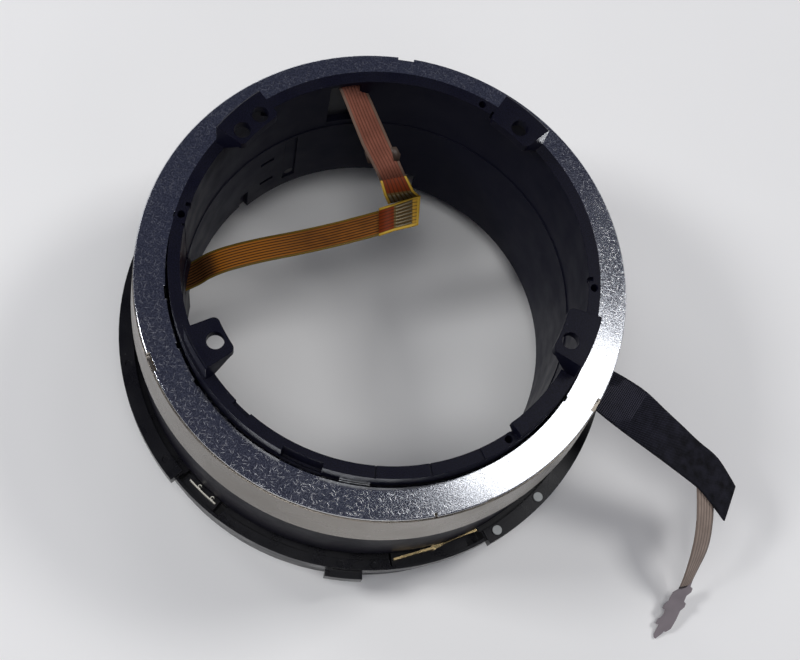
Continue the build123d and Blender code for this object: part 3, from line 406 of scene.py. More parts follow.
def moulding(name, base, roughness, grain=0.00016, specular=0.08, walls=1.0):
    """Black plastic with a fine moulded grain and dust. Walls have that share of the gloss, and
    painted light makes their colour lighter.
    """
    finish = Finish(name, base, roughness)
    fine = finish.grain(grain, 3.0)
    cloud = finish.grain(0.004, 3.0)
    shade = finish.mix(finish.span(fine, 0.4, 0.62), shaded(base, 0.6), shaded(base, 2.4))
    gloss = specular
    if walls < 1.0:
        # Walls take 2.6 times the base colour: painted light from the floor's bounce.
        shade = finish.mix(finish.upward(0.0), shaded(base, 2.6), shade)
        gloss = finish.math("MULTIPLY", finish.upward(walls), specular)
    dust = finish.specks(size=0.0011, reach=0.055)
    dust = finish.math("MULTIPLY", dust, finish.span(cloud, 0.48, 0.62))
    dust_colour = tuple(0.10 + part * 6.0 for part in base)
    spread = 0.07
    finish.set(
        Base_Color=finish.mix(dust, shade, dust_colour),
        Specular_IOR_Level=gloss,
        Roughness=finish.patches(cloud, roughness - spread, roughness + spread),
    )
    finish.bump(fine, depth=0.00001, strength=0.35, edge=0.00012)
    return finish.material


def polished_steel(name, base):
    """Polished steel: a fine speckled skin and thin short scratches, more of them to one side, with
    painted highlights on them.
    """
    finish = Finish(name, base, 0.16, 1.0)
    scratches = [finish.scratches(*cell) for cell in STEEL_SCRATCHES]
    marks = finish.either(*scratches, finish.specks(size=0.00075, reach=0.085))
    split = finish.add("ShaderNodeSeparateXYZ", {"Vector": finish.place})
    slant = finish.math("SUBTRACT", split.outputs["X"], split.outputs["Y"])
    marks = finish.math("MULTIPLY", marks, finish.span(slant, -0.030, 0.030, 0.3, 0.8))
    skin = finish.grain(0.00022)
    shade = finish.mix(finish.span(skin, 0.38, 0.62), shaded(base, 0.72), shaded(base, 1.12))
    rough = finish.span(skin, 0.35, 0.65, 0.09, 0.14)
    rough = finish.math("ADD", rough, finish.patches(finish.grain(0.006, 3.0), 0.0, 0.03))
    rough = finish.math("ADD", rough, finish.math("MULTIPLY", marks, 0.14))
    # Scratches and specks are real wear; their near-white colour is a painted highlight for the
    # light they scatter.
    finish.set(
        Base_Color=finish.mix(marks, shade, (0.90, 0.90, 0.90)),
        Metallic=finish.span(marks, 0.0, 1.0, 1.0, 0.72),
        Roughness=rough,
    )
    pits = finish.specks(size=0.00042, reach=0.30)
    height = finish.math("SUBTRACT", skin, finish.math("MULTIPLY", pits, 0.35))
    height = finish.math("SUBTRACT", height, finish.math("MULTIPLY", marks, 0.8))
    finish.bump(height, depth=0.000006, strength=0.42, edge=0.00008)
    return finish.material


def satin_metal(name, base, roughness, grain=0.00012, depth=0.000012):
    """Blasted and anodised metal."""
    finish = Finish(name, base, roughness, 1.0)
    fine = finish.grain(grain)
    finish.set(
        Base_Color=finish.mix(finish.patches(fine), shaded(base, 0.86), base),
        Roughness=finish.patches(finish.grain(0.008), roughness - 0.05, roughness + 0.06),
    )
    finish.bump(fine, depth, strength=0.6, edge=0.00015)
    return finish.material


def turned_metal(name, base, roughness, metallic=1.0):
    """Machined metal with fine marks and small stains."""
    finish = Finish(name, base, roughness, metallic)
    stains = finish.grain(0.003, 3.0)
    finish.set(Roughness=finish.patches(stains, roughness - 0.06, roughness + 0.10))
    marks = finish.stretched(0.0, length=0.02, width=0.02, height=0.00006)
    finish.bump(finish.grain(1.0, place=marks), depth=0.000004, strength=0.5, edge=0.00006)
    return finish.material


def powdery(name, base, roughness, grain=0.0001, depth=0.00002):
    """Matt surface with a fine grain and a cloudy shade."""
    finish = Finish(name, base, roughness)
    cloud = finish.patches(finish.grain(0.0025, 3.0))
    finish.set(Base_Color=finish.mix(cloud, shaded(base, 0.8), base))
    finish.bump(finish.grain(grain, 4.0), depth, strength=0.6)
    return finish.material


def strip_places(finish):
    """Millimetres along a strip and share across it, from the strip's own UV map."""
    uv = finish.add("ShaderNodeUVMap", uv_map="strip").outputs["UV"]
    split = finish.add("ShaderNodeSeparateXYZ", {"Vector": uv})
    return split.outputs["X"], split.outputs["Y"]


def stripes(finish, across, number_of, margin, share):
    """1 on thin lines between conductors, 0 on the conductors."""
    inside = finish.span(across, margin, 1.0 - margin, 0.0, float(number_of))
    wave = finish.off_centre(finish.math("FRACT", inside))
    return finish.span(wave, share - 0.05, share + 0.05)


def striped_film(name, body, traces, margin, line, edge, gloss, share=0.38, zones=()):
    """Flexible circuit: conductors under a film, with the colours of body, lines and edge."""
    finish = Finish(name, body, gloss)
    along, across = strip_places(finish)
    lines = stripes(finish, across, traces, margin, share)
    cloud = finish.patches(finish.grain(0.0018, 3.0))
    shade = finish.mix(lines, finish.mix(cloud, shaded(body, 0.85), shaded(body, 1.15)), line)
    # Zones along the strip take their own body and line colours: on the orange circuit these are
    # painted light and painted shade.
    for low, high, blur, zone_line, zone_body in zones:
        start = finish.span(along, low - blur, low + blur)
        end = finish.span(along, high + blur, high - blur)
        zone = finish.mix(lines, zone_body, zone_line)
        shade = finish.mix(finish.math("MULTIPLY", start, end), shade, zone)
    rim = finish.span(finish.off_centre(across), 0.49 - margin, 0.51 - margin)
    finish.set(Base_Color=finish.mix(rim, shade, edge), Specular_IOR_Level=0.12)
    finish.bump(finish.grain(0.0006, 3.0), depth=0.00002, strength=0.25)
    return finish.material


def bare_end_finish(name, pads, red_end, pads_end, border):
    """Bare film at a circuit's end: a red striped zone, gaps between pads, then yellow film."""
    finish = Finish(name, (0.20, 0.13, 0.03), 0.46)
    along, across = strip_places(finish)
    lines = stripes(finish, across, pads, END_MARGIN, 0.36)
    red = finish.mix(lines, END_RED, END_RED_LINE)
    bare = finish.mix(lines, END_TIN, END_DARK)
    stubs = finish.mix(lines, END_YELLOW, END_STUB)
    shade = finish.mix(finish.span(along, red_end - 0.1, red_end + 0.1), red, bare)
    shade = finish.mix(finish.span(along, pads_end - 0.1, pads_end + 0.1), shade, stubs)
    sides = finish.span(finish.off_centre(across), 0.40, 0.43)
    rim = finish.either(sides, finish.span(along, border - 0.05, border + 0.05))
    finish.set(Base_Color=finish.mix(rim, shade, END_BORDER), Specular_IOR_Level=0.12)
    finish.bump(finish.grain(0.0004), depth=0.00003, strength=0.5)
    return finish.material


def woven_cloth(name, base, pitch):
    """Black tape cloth: a dotted weave with painted light and shade on it, that smooths out towards
    the tape's end.
    """
    finish = Finish(name, base, 0.70)
    along, across = strip_places(finish)
    rib_turn = math.tau / (pitch * 1200.0)
    thread_turn = 6.8 * rib_turn
    ribs = finish.math("SINE", finish.math("MULTIPLY", along, rib_turn))
    threads = finish.math("SINE", finish.math("MULTIPLY", across, thread_turn))
    weave = finish.math("MULTIPLY", ribs, threads)
    fade = finish.span(along, 11.0, 19.0, 1.0, 0.12)
    lift = finish.math("MULTIPLY", finish.span(weave, 0.2, 0.8), fade)
    lift = finish.math("ADD", lift, finish.patches(finish.grain(0.0012, 3.0), 0.0, 0.25))
    # Thread tops lighter and gaps darker, by the weave's height: painted light and shade. The
    # cloudy patches are random tone.
    shade = finish.mix(lift, shaded(base, 0.15), shaded(base, 7.0))
    finish.set(Base_Color=shade, Specular_IOR_Level=0.15)
    finish.bump(finish.math("MULTIPLY", weave, fade), depth=0.00008, strength=0.9)
    return finish.material


# Shapes


def new_piece(name, mesh, finish):
    piece = bpy.data.objects.new(name, mesh)
    bpy.context.scene.collection.objects.link(piece)
    mesh.materials.append(finish)
    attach(piece, "frame")
    return piece


def mesh_of(form, name):
    """Mesh with the faces of a bmesh, turned outwards."""
    bmesh.ops.recalc_face_normals(form, faces=form.faces)
    mesh = bpy.data.meshes.new(name)
    form.to_mesh(mesh)
    form.free()
    return mesh


def line_frame(start, azimuth):
    return Matrix.Translation((*start, 0.0)) @ Matrix.Rotation(math.radians(azimuth), 4, "Z")


def route_points(start, azimuth, route):
    place = line_frame(start, azimuth)
    return [place @ Vector((distance, 0.0, height)) for distance, height in route]


def level_side(azimuth):
    """Level direction square to an azimuth."""
    angle = math.radians(azimuth)
    return Vector((-math.sin(angle), math.cos(angle), 0.0))


def smooth_line(points):
    """Points along the smooth line that a route guides."""
    curve = bpy.data.curves.new("route", "CURVE")
    curve.dimensions = "3D"
    curve.resolution_u = 24
    spline = curve.splines.new("NURBS")
    spline.points.add(len(points) - 1)
    for point, place in zip(spline.points, points):
        point.co = (*place, 1.0)
    spline.order_u = 3
    spline.use_endpoint_u = True
    guide = bpy.data.objects.new("route", curve)
    bpy.context.scene.collection.objects.link(guide)
    bpy.context.view_layer.update()
    graph = bpy.context.evaluated_depsgraph_get()
    mesh = bpy.data.meshes.new_from_object(guide.evaluated_get(graph))
    line = [vertex.co.copy() for vertex in mesh.vertices]
    bpy.data.objects.remove(guide)
    bpy.data.curves.remove(curve)
    bpy.data.meshes.remove(mesh)
    return line


def marks_along(line):
    """Distance of each point of a line from its start."""
    marks = [0.0]
    for before, after in zip(line, line[1:]):
        marks.append(marks[-1] + (after - before).length)
    return marks


def flat_section(steps):
    """Share across and lift over the top of a plain strip."""
    return [(step / steps, 0.0) for step in range(steps + 1)]


def ridged_section(traces, margin, ridge):
    """The same with one low ridge to each conductor."""
    run = (1.0 - 2.0 * margin) / traces
    top = [(0.0, 0.0)]
    for index in range(traces):
        left = margin + index * run
        for share, lift in ((0.18, 0.0), (0.28, ridge), (0.72, ridge), (0.82, 0.0)):
            top.append((left + share * run, lift))
    top.append((1.0, 0.0))
    return top


def rows_along(line, sides, widths):
    """Cross lines of a strip that follows a line, square to it."""
    rows = []
    for index, here in enumerate(line):
        before, after = line[max(index - 1, 0)], line[min(index + 1, len(line) - 1)]
        tangent = (after - before).normalized()
        side = sides[index] - tangent * sides[index].dot(tangent)
        side = side.normalized() * widths[index] / 2.0
        rows.append((here - side, here + side))
    return rows


def rows_between(edges, smooth=False):
    """Cross lines through pairs of places, with smooth edges where asked."""
    lefts = [Vector(left) for left, right in edges]
    rights = [Vector(right) for left, right in edges]
    if smooth:
        lefts, rights = smooth_line(lefts), smooth_line(rights)
    return list(zip(lefts, rights))


def strip_mesh(name, rows, thick, section):
    """Closed strip over cross lines. Its UV map has millimetres along it and shares across it."""
    form = bmesh.new()
    uv_layer = form.loops.layers.uv.new("strip")
    middles = [(left + right) / 2.0 for left, right in rows]
    places = [(share, thick / 2.0 + lift) for share, lift in section]
    places += [(section[-1][0], -thick / 2.0), (section[0][0], -thick / 2.0)]
    rings, uv_of = [], {}
    for index, ((left, right), mark) in enumerate(zip(rows, marks_along(middles))):
        tangent = middles[min(index + 1, len(rows) - 1)] - middles[max(index - 1, 0)]
        up = tangent.cross(right - left).normalized()
        if up.z < 0.0:
            up.negate()
        ring = [form.verts.new(left.lerp(right, share) + up * lift) for share, lift in places]
        for vertex, (share, _) in zip(ring, places):
            uv_of[vertex] = (mark * 1000.0, share)
        rings.append(ring)
    for ring, after in zip(rings, rings[1:]):
        for place in range(len(ring)):
            other = (place + 1) % len(ring)
            form.faces.new((ring[place], ring[other], after[other], after[place]))
    form.faces.new(rings[0])
    form.faces.new(rings[-1])
    for face in form.faces:
        face.smooth = True
        for loop in face.loops:
            loop[uv_layer].uv = uv_of[loop.vert]
    return mesh_of(form, name)


def ease(value):
    """0 to 1 with a soft start and end."""
    value = min(max(value, 0.0), 1.0)
    return value * value * (3.0 - 2.0 * value)


# Geometry Nodes


class Growth(Tree):
    """Geometry node tree that takes a mesh, numbers and a finish."""

    def __init__(self, name, numbers):
        super().__init__(bpy.data.node_groups.new(name, "GeometryNodeTree"))
        sockets = self.tree.interface
        sockets.new_socket(name="Geometry", in_out="INPUT", socket_type="NodeSocketGeometry")
        for label in numbers:
            sockets.new_socket(name=label, in_out="INPUT", socket_type="NodeSocketFloat")
        sockets.new_socket(name="Finish", in_out="INPUT", socket_type="NodeSocketMaterial")
        sockets.new_socket(name="Geometry", in_out="OUTPUT", socket_type="NodeSocketGeometry")
        self.inputs = self.tree.nodes.new("NodeGroupInput").outputs
        self.out = self.tree.nodes.new("NodeGroupOutput").inputs[0]

    def finish(self, geometry):
        """End the tree in plain geometry with its finish."""
        real = self.add("GeometryNodeRealizeInstances", {0: geometry})
        inputs = {"Geometry": real.outputs[0], "Material": self.inputs["Finish"]}
        painted = self.add("GeometryNodeSetMaterial", inputs)
        self.feed(self.out, painted.outputs[0])
        return self.tree


def grow(name, mesh, group, values):
    """Run a tree on a mesh and keep the result as a plain mesh."""
    piece = bpy.data.objects.new(name, mesh)
    bpy.context.scene.collection.objects.link(piece)
    modifier = piece.modifiers.new("build", "NODES")
    modifier.node_group = group
    for item in group.interface.items_tree:
        if item.in_out == "INPUT" and item.name in values:
            modifier[item.identifier] = values[item.name]
    bpy.context.view_layer.update()
    graph = bpy.context.evaluated_depsgraph_get()
    grown = bpy.data.meshes.new_from_object(piece.evaluated_get(graph))
    piece.modifiers.clear()
    piece.data = grown
    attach(piece, "frame")
    return piece


def tree_of_ribs():
    """Half-round ribs laid across a line at an even pitch."""
    tree = Growth("ribs across a line", ("Pitch", "Width", "Rib radius"))
    line = tree.add("GeometryNodeMeshToCurve", {0: tree.inputs["Geometry"]})
    upright = tree.add("GeometryNodeSetCurveNormal", {"Curve": line.outputs[0]}, mode="Z_UP")
    spaced = tree.add("GeometryNodeResampleCurve", {"Curve": upright.outputs[0]}, mode="LENGTH")
    tree.feed(spaced.inputs["Length"], tree.inputs["Pitch"])
    tangent = tree.add("GeometryNodeInputTangent").outputs[0]
    normal = tree.add("GeometryNodeInputNormal").outputs[0]
    first = tree.add("FunctionNodeAlignRotationToVector", {"Vector": tangent}, axis="X")
    second = tree.add(
        "FunctionNodeAlignRotationToVector",
        {"Rotation": first.outputs[0], "Vector": normal},
        axis="Z",
        pivot_axis="X",
    )
    rod = tree.add("GeometryNodeMeshCylinder", {"Vertices": 8, "Radius": tree.inputs["Rib radius"]})
    tree.feed(rod.inputs["Depth"], tree.inputs["Width"])
    placed = tree.add(
        "GeometryNodeInstanceOnPoints",
        {
            "Points": spaced.outputs[0],
            "Instance": rod.outputs["Mesh"],
            "Rotation": second.outputs[0],
        },
    )
    return tree.finish(placed.outputs[0])


def tree_of_pads():
    """One small rounded block on each face of a mesh, shrunk from the face and raised."""
    tree = Growth("pads on faces", ("Inset", "Rise"))
    raised = tree.add(
        "GeometryNodeExtrudeMesh",
        {"Mesh": tree.inputs["Geometry"], "Offset Scale": tree.inputs["Rise"], "Individual": True},
        mode="FACES",
    )
    crown = tree.add(
        "GeometryNodeScaleElements",
        {
            "Geometry": raised.outputs["Mesh"],
            "Selection": raised.outputs["Top"],
            "Scale": tree.inputs["Inset"],
        },
        domain="FACE",
    )
    smooth = tree.add("GeometryNodeSetShadeSmooth", {"Geometry": crown.outputs[0]})
    return tree.finish(smooth.outputs[0])


def polyline_mesh(name, points):
    mesh = bpy.data.meshes.new(name)
    mesh.from_pydata([tuple(p) for p in points], [(i, i + 1) for i in range(len(points) - 1)], [])
    return mesh


def quad_mesh(name, quads):
    mesh = bpy.data.meshes.new(name)
    places = [tuple(corner) for quad in quads for corner in quad]
    mesh.from_pydata(places, [], [tuple(range(4 * i, 4 * i + 4)) for i in range(len(quads))])
    return mesh


# Pieces


def orange_circuit():
    s = sizes()
    line = smooth_line(route_points(ORANGE_START, ORANGE_AZIMUTH, ORANGE_ROUTE))
    side, points = level_side(ORANGE_AZIMUTH), len(line)
    rows = rows_along(line, [side] * points, [s.orange_width] * points)
    section = ridged_section(s.orange_traces, ORANGE_MARGIN, s.ridge_height)
    finish = striped_film(
        "orange circuit",
        tint("amber"),
        s.orange_traces,
        ORANGE_MARGIN,
        line=ORANGE_LINE,
        edge=ORANGE_EDGE,
        gloss=0.45,
        share=0.31,
        zones=ORANGE_LIGHT_ZONES,
    )
    mesh = strip_mesh("orange_circuit", rows, s.flex_thick, section)
    piece = new_piece("orange_circuit", mesh, finish)
    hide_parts("position_flex")
    return piece, line


def copper_circuit():
    """The copper circuit and the small ears on its two edges."""
    s = sizes()
    section = ridged_section(s.copper_traces, COPPER_MARGIN, s.ridge_height)
    finish = striped_film(
        "copper circuit",
        tint("copper"),
        s.copper_traces,
        COPPER_MARGIN,
        line=shaded(tint("copper"), 0.45),
        edge=COPPER_EDGE,
        gloss=0.35,
    )
    rows = rows_between(COPPER_EDGES)
    mesh = strip_mesh("copper_circuit", rows, s.flex_thick, section)
    pieces = [new_piece("copper_circuit", mesh, finish)]
    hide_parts("board_flex")
    film = powdery("ear film", tint("ear"), 0.5)
    for side, edges in zip(("left", "right"), COPPER_EARS):
        rows = rows_between(edges)
        mesh = strip_mesh(side + "_ear", rows, s.flex_thick, flat_section(1))
        pieces.append(new_piece("copper_ear_" + side, mesh, film))
    return pieces


def pad_quads(rows, pads, start, end, share, lift):
    """Faces of the solder pads between two cross lines, from start to end as shares."""
    (near_left, near_right), (far_left, far_right) = rows
    run = (1.0 - 2.0 * END_MARGIN) / pads
    quads = []
    for index in range(pads):
        low = END_MARGIN + run * (index + 0.5 - share / 2.0)
        high = END_MARGIN + run * (index + 0.5 + share / 2.0)
        quad = [
            near_left.lerp(near_right, across).lerp(far_left.lerp(far_right, across), along)
            for along, across in ((start, low), (end, low), (end, high), (start, high))
        ]
        normal = (quad[1] - quad[0]).cross(quad[3] - quad[0]).normalized()
        if normal.z < 0.0:
            quad.reverse()
            normal.negate()
        quads.append([corner + normal * lift for corner in quad])
    return quads


def solder_ends():
    """Bare ends of both circuits, with their solder pads."""
    s = sizes()
    tree = tree_of_pads()
    tin = turned_metal("solder", tint("solder"), 0.40)
    # Millimetres to the end of the red zone, the end of the pads and the start of the border,
    # then the start and end of the pads as shares of the last run
    ends = (
        ("orange", ORANGE_END, s.orange_pads, (2.45, 5.45, 6.15), (0.10, 0.94)),
        ("copper", COPPER_END, s.copper_pads, (2.70, 9.0, 9.0), (0.12, 0.98)),
    )
    replaced = {"orange": "position_flex_pads", "copper": "board_flex_pads"}
    values = {"Inset": 0.85, "Rise": s.pad_rise, "Finish": tin}
    pieces = []
    for name, edges, pads, zones, (start, end) in ends:
        rows = rows_between(edges)
        mesh = strip_mesh(name + "_bare_end", rows, s.end_thick, flat_section(12))
        finish = bare_end_finish(name + " bare film", pads, *zones)
        board = new_piece(name + "_bare_end", mesh, finish)
        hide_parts(replaced[name])
        quads = pad_quads(rows[1:3], pads, start, end, share=0.56, lift=s.end_thick / 2.0)
        solder = grow(name + "_solder", quad_mesh("pads", quads), tree, values)
        pieces += [board, solder]
    return pieces


def leg_matrix():
    """Place of the leg's own plane, at the end of the beige circuit's first route."""
    (before, low), (after, high) = BEIGE_ROUTE[-2:]
    slope = math.atan2(high - low, after - before)
    place = line_frame(BEIGE_START, BEIGE_AZIMUTH) @ Matrix.Translation((after, 0.0, high))
    turn = Matrix.Rotation(-math.radians(LEG_TURN), 4, "Z")
    return place @ Matrix.Rotation(-slope, 4, "Y") @ turn


def beige_line():
    """Line of the beige circuit, with the direction across it and its width at each point."""
    leg = leg_matrix()
    first = route_points(BEIGE_START, BEIGE_AZIMUTH, BEIGE_ROUTE)
    second = [leg @ Vector((distance, 0.0, height)) for distance, height in LEG_ROUTE]
    line = smooth_line(first + second)
    marks = marks_along(line)
    elbow = min(range(len(line)), key=lambda index: (line[index] - leg.translation).length)
    side = level_side(BEIGE_AZIMUTH)
    leg_side = (leg.to_3x3() @ Vector((0.0, 1.0, 0.0))).normalized()
    blend, narrowing, neck_start, neck_length = 0.006, 0.34, 0.009, 0.008
    sides = [side.lerp(leg_side, ease((mark - marks[elbow]) / blend + 0.5)) for mark in marks]
    necks = [ease((mark - marks[-1] + neck_start) / neck_length) for mark in marks]
    return line, sides, [sizes().beige_width * (1.0 - narrowing * neck) for neck in necks]


def beige_circuit():
    s = sizes()
    line, sides, widths = beige_line()
    rows = rows_along(line, sides, widths)
    section = ridged_section(s.beige_traces, BEIGE_MARGIN, s.ridge_height)
    film = shaded(tint("beige"), 0.62)
    finish = striped_film(
        "beige circuit",
        tint("beige"),
        s.beige_traces,
        BEIGE_MARGIN,
        line=film,
        edge=film,
        gloss=0.34,
        share=0.33,
    )
    mesh = strip_mesh("beige_circuit", rows, s.flex_thick, section)
    piece = new_piece("beige_circuit", mesh, finish)
    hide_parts("motor_flex")
    return piece, line, rows


def tip_seam(rows):
    """Dark seam over the last cross lines of the beige circuit, a little wider than it."""
    s = sizes()
    lift, overhang = Vector((0.0, 0.0, s.flex_thick * 0.8)), 0.04
    (left, right), (last_left, last_right) = rows[-2:]
    share = s.seam_width / ((last_left + last_right) / 2.0 - (left + right) / 2.0).length
    starts = last_left.lerp(left, share), last_right.lerp(right, share)
    seam = [
        (one.lerp(other, -overhang) + lift, one.lerp(other, 1.0 + overhang) + lift)
        for one, other in (starts, (last_left, last_right))
    ]
    mesh = strip_mesh("tip_seam", seam, s.flex_thick, flat_section(2))
    return new_piece("tip_seam", mesh, powdery("seam", tint("seam"), 0.5))


def cloth_tape():
    """The cloth tape, and the raised ribs where it starts."""
    s = sizes()
    rows = rows_between(TAPE_EDGES, smooth=True)
    mesh = strip_mesh("tape_cloth", rows, s.tape_thick, flat_section(16))
    cloth = woven_cloth("tape cloth", tint("cloth"), s.tape_pitch)
    piece = new_piece("tape_cloth", mesh, cloth)
    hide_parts("cloth_tape")
    lift = Vector((0.0, 0.0, s.tape_thick * 0.40))
    middles = [(left + right) / 2.0 + lift for left, right in rows]
    raised = [here for here, mark in zip(middles, marks_along(middles)) if mark <= s.ribbed_length]
    values = {
        "Pitch": s.tape_pitch,
        "Width": (rows[0][1] - rows[0][0]).length * 1.04,
        "Rib radius": s.tape_pitch * 0.27,
        # The ribs' colour is five times the cloth's: painted highlight on the rib tops.
        "Finish": powdery("tape rib", shaded(tint("cloth"), 5.0), 0.5, 0.0003),
    }
    line = polyline_mesh("ribs", raised)
    return piece, grow("tape_ribs", line, tree_of_ribs(), values)


def dress(node, finish):
    """Give a CAD node its finish."""
    mesh = NODES[node].data
    mesh.materials.clear()
    mesh.materials.append(finish)


def aim(place, target):
    """Matrix that puts a lamp at a place, looking at a target."""
    place = Vector(place)
    back = (place - Vector(target)).normalized()
    side = Vector((0.0, 0.0, 1.0)).cross(back)
    if side.length < 1e-6:
        side = Vector((1.0, 0.0, 0.0))
    side.normalize()
    return axes_matrix((side, back.cross(side), back), place)


def axes_matrix(axes, place):
    matrix = Matrix(axes).transposed().to_4x4()
    matrix.translation = place
    return matrix


def soft_box(name, direction, size, power, colour):
    """Area lamp over the unit, placed by its angle from the vertical and its azimuth in degrees."""
    lean, azimuth = (math.radians(part) for part in direction)
    level = BOX_REACH * math.sin(lean)
    offset = (level * math.cos(azimuth), level * math.sin(azimuth), BOX_REACH * math.cos(lean))
    lamp = bpy.data.lights.new(name, "AREA")
    lamp.shape = "RECTANGLE"
    lamp.size, lamp.size_y = size
    lamp.energy = power
    lamp.color = colour
    holder = bpy.data.objects.new(name, lamp)
    bpy.context.scene.collection.objects.link(holder)
    holder.matrix_world = aim(Vector(BOX_TARGET) + Vector(offset), BOX_TARGET)
    return holder


def pale_floor():
    radius = bpy.context.scene.unit_stage.floor
    form = bmesh.new()
    bmesh.ops.create_circle(form, cap_ends=True, segments=96, radius=radius)
    floor = bpy.data.objects.new("floor", mesh_of(form, "floor"))
    bpy.context.scene.collection.objects.link(floor)
    paper = Finish("floor paper", tint("floor"), 0.75)
    cloud = paper.patches(paper.grain(0.05))
    shade = paper.mix(cloud, shaded(tint("floor"), 0.98), tint("floor"))
    paper.set(Base_Color=shade, Specular_IOR_Level=0.2)
    floor.data.materials.append(paper.material)


def room_light(strength):
    """Dim bluish light from all round, seen by the camera as a pale grey."""
    world = bpy.data.worlds.new("room")
    bpy.context.scene.world = world
    world.use_nodes = True
    room = Tree(world.node_tree)
    seen = room.add("ShaderNodeLightPath").outputs["Is Camera Ray"]
    back = room.tree.nodes["Background"].inputs
    room.feed(back["Color"], room.mix(seen, ROOM_LIGHT, ROOM_SEEN))
    room.feed(back["Strength"], strength)


class UNIT_OT_camera(bpy.types.Operator):
    """Set the camera at the view of the whole unit"""

    bl_idname = "unit.camera"
    bl_label = "Camera"

    def execute(self, context):
        camera = bpy.data.cameras.new("view")
        camera.sensor_width = 36.0
        camera.lens = context.scene.unit_stage.lens
        camera.clip_start = 0.005
        camera.clip_end = 20.0
        holder = bpy.data.objects.new("view", camera)
        context.scene.collection.objects.link(holder)
        holder.matrix_world = axes_matrix(CAMERA_AXES, CAMERA_PLACE)
        context.scene.camera = holder
        return {"FINISHED"}


class UNIT_OT_sensor_circuits(bpy.types.Operator):
    """Make the orange and copper circuits that are soldered together over the bore"""

    bl_idname = "unit.sensor_circuits"
    bl_label = "Sensor circuits"

    def execute(self, context):
        orange, line = orange_circuit()
        copper = copper_circuit()
        ends = solder_ends()
        return {"FINISHED"}


class UNIT_OT_motor_circuit(bpy.types.Operator):
    """Make the beige circuit, its grey tip and the cloth tape over it"""

    bl_idname = "unit.motor_circuit"
    bl_label = "Motor circuit"

    def execute(self, context):
        beige, line, rows = beige_circuit()
        seam = tip_seam(rows)
        cloth, ribs = cloth_tape()
        dress("motor_flex_tip", powdery("circuit tip", tint("tip"), 0.5))
        return {"FINISHED"}


class UNIT_OT_barrel(bpy.types.Operator):
    """Finish the black barrel, its board and its screws"""

    bl_idname = "unit.barrel"
    bl_label = "Barrel"

    def execute(self, context):
        black = moulding("black moulding", tint("moulding"), 0.38, specular=0.10, walls=0.4)
        dress("barrel", black)
        dress("sensor_board", powdery("sensor board", tint("board"), 0.6))
        dress("housing_screws", turned_metal("screw steel", tint("screw"), 0.35))
        return {"FINISHED"}


class UNIT_OT_rings(bpy.types.Operator):
    """Finish the thrust plate, the manual ring and the motor housing"""

    bl_idname = "unit.rings"
    bl_label = "Rings"

    def execute(self, context):
        dress("thrust_plate", polished_steel("polished steel", tint("steel")))
        champagne = satin_metal("champagne metal", tint("champagne"), 0.27, 0.00026, 0.000022)
        dress("manual_ring", champagne)
        dress("motor_housing", moulding("housing coat", tint("housing"), 0.46, 0.0001))
        dress("retaining_ring", turned_metal("spring steel", tint("spring"), 0.3))
        return {"FINISHED"}


class UNIT_OT_output_ring(bpy.types.Operator):
    """Finish the output ring with its contacts, brush and stakes"""

    bl_idname = "unit.output_ring"
    bl_label = "Output ring"

    def execute(self, context):
        dress("output_ring", moulding("base moulding", tint("base"), 0.30, specular=0.22))
        dress("contact_strip", turned_metal("contact silver", tint("silver"), 0.3, 0.55))
        gold = turned_metal("brush gold", tint("gold"), 0.24)
        dress("brush_plate", gold)
        dress("brush_wires", gold)
        dress("heat_stakes", powdery("stake plastic", tint("stake"), 0.45))
        return {"FINISHED"}


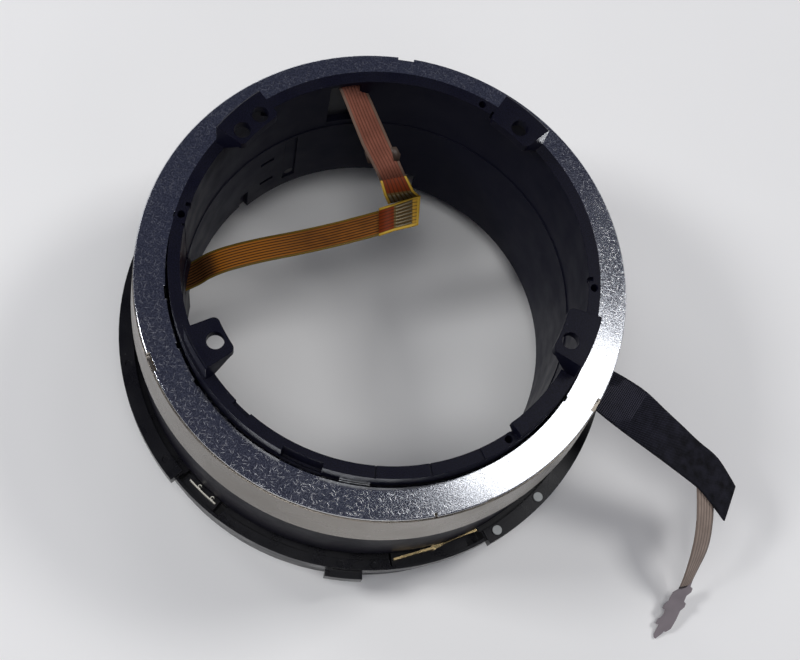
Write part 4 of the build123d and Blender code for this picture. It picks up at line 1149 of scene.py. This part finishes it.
class UNIT_OT_drive(bpy.types.Operator):
    """Finish the hidden motor, rollers, balls and springs"""

    bl_idname = "unit.drive"
    bl_label = "Drive"

    def execute(self, context):
        steel = turned_metal("bearing steel", tint("bearing"), 0.18)
        pale = satin_metal("drive aluminium", tint("aluminium"), 0.38)
        rollers = ("roller_1", "roller_2", "roller_3")
        for node in ("race_balls", *rollers, "roller_axles", "drive_keys"):
            dress(node, steel)
        for node in ("roller_carrier", "rotor"):
            dress(node, pale)
        dress("ball_cage", turned_metal("cage brass", tint("brass"), 0.32))
        dress("stator", satin_metal("stator steel", tint("stator"), 0.32))
        dress("piezo_ring", powdery("ceramic", tint("ceramic"), 0.6))
        dress("felt_ring", powdery("felt", tint("felt"), 0.95, 0.00008, 0.00006))
        dress("spring_washer", turned_metal("washer steel", tint("spring"), 0.3))
        return {"FINISHED"}


class UNIT_OT_stage(bpy.types.Operator):
    """Set the pale floor, the soft boxes and the room's light"""

    bl_idname = "unit.stage"
    bl_label = "Stage"

    def execute(self, context):
        stage = context.scene.unit_stage
        pale_floor()
        for name, direction, size, setting, colour in BOXES:
            holder = soft_box(name, direction, size, getattr(stage, setting), colour)
            if name == "panel":
                holder.matrix_world = aim(PANEL_PLACE, (*PANEL_PLACE[:2], 0.0))
        room_light(stage.room)
        context.scene.view_settings.view_transform = "Standard"
        return {"FINISHED"}


STEPS = [
    UNIT_OT_camera,
    UNIT_OT_sensor_circuits,
    UNIT_OT_motor_circuit,
    UNIT_OT_barrel,
    UNIT_OT_rings,
    UNIT_OT_output_ring,
    UNIT_OT_drive,
    UNIT_OT_stage,
]


class UNIT_PT_steps(bpy.types.Panel):
    """Steps and sizes of the drive unit"""

    bl_idname = "UNIT_PT_steps"
    bl_label = "Drive unit"
    bl_space_type = "VIEW_3D"
    bl_region_type = "UI"
    bl_category = "Drive unit"

    def draw(self, context):
        for step in STEPS:
            self.layout.operator(step.bl_idname)
        for group in ("unit_sizes", "unit_colours", "unit_stage"):
            settings = getattr(context.scene, group)
            for name in settings.__annotations__:
                self.layout.prop(settings, name)


CLASSES = [UnitSizes, UnitColours, StageSizes, *STEPS, UNIT_PT_steps]


def register():
    for kind in CLASSES:
        bpy.utils.register_class(kind)
    bpy.types.Scene.unit_sizes = PointerProperty(type=UnitSizes)
    bpy.types.Scene.unit_colours = PointerProperty(type=UnitColours)
    bpy.types.Scene.unit_stage = PointerProperty(type=StageSizes)


def unregister():
    del bpy.types.Scene.unit_sizes
    del bpy.types.Scene.unit_colours
    del bpy.types.Scene.unit_stage
    for kind in reversed(CLASSES):
        bpy.utils.unregister_class(kind)


def main():
    register()
    for step in STEPS:
        group, name = step.bl_idname.split(".")
        getattr(getattr(bpy.ops, group), name)()


if __name__ == "__main__":
    main()
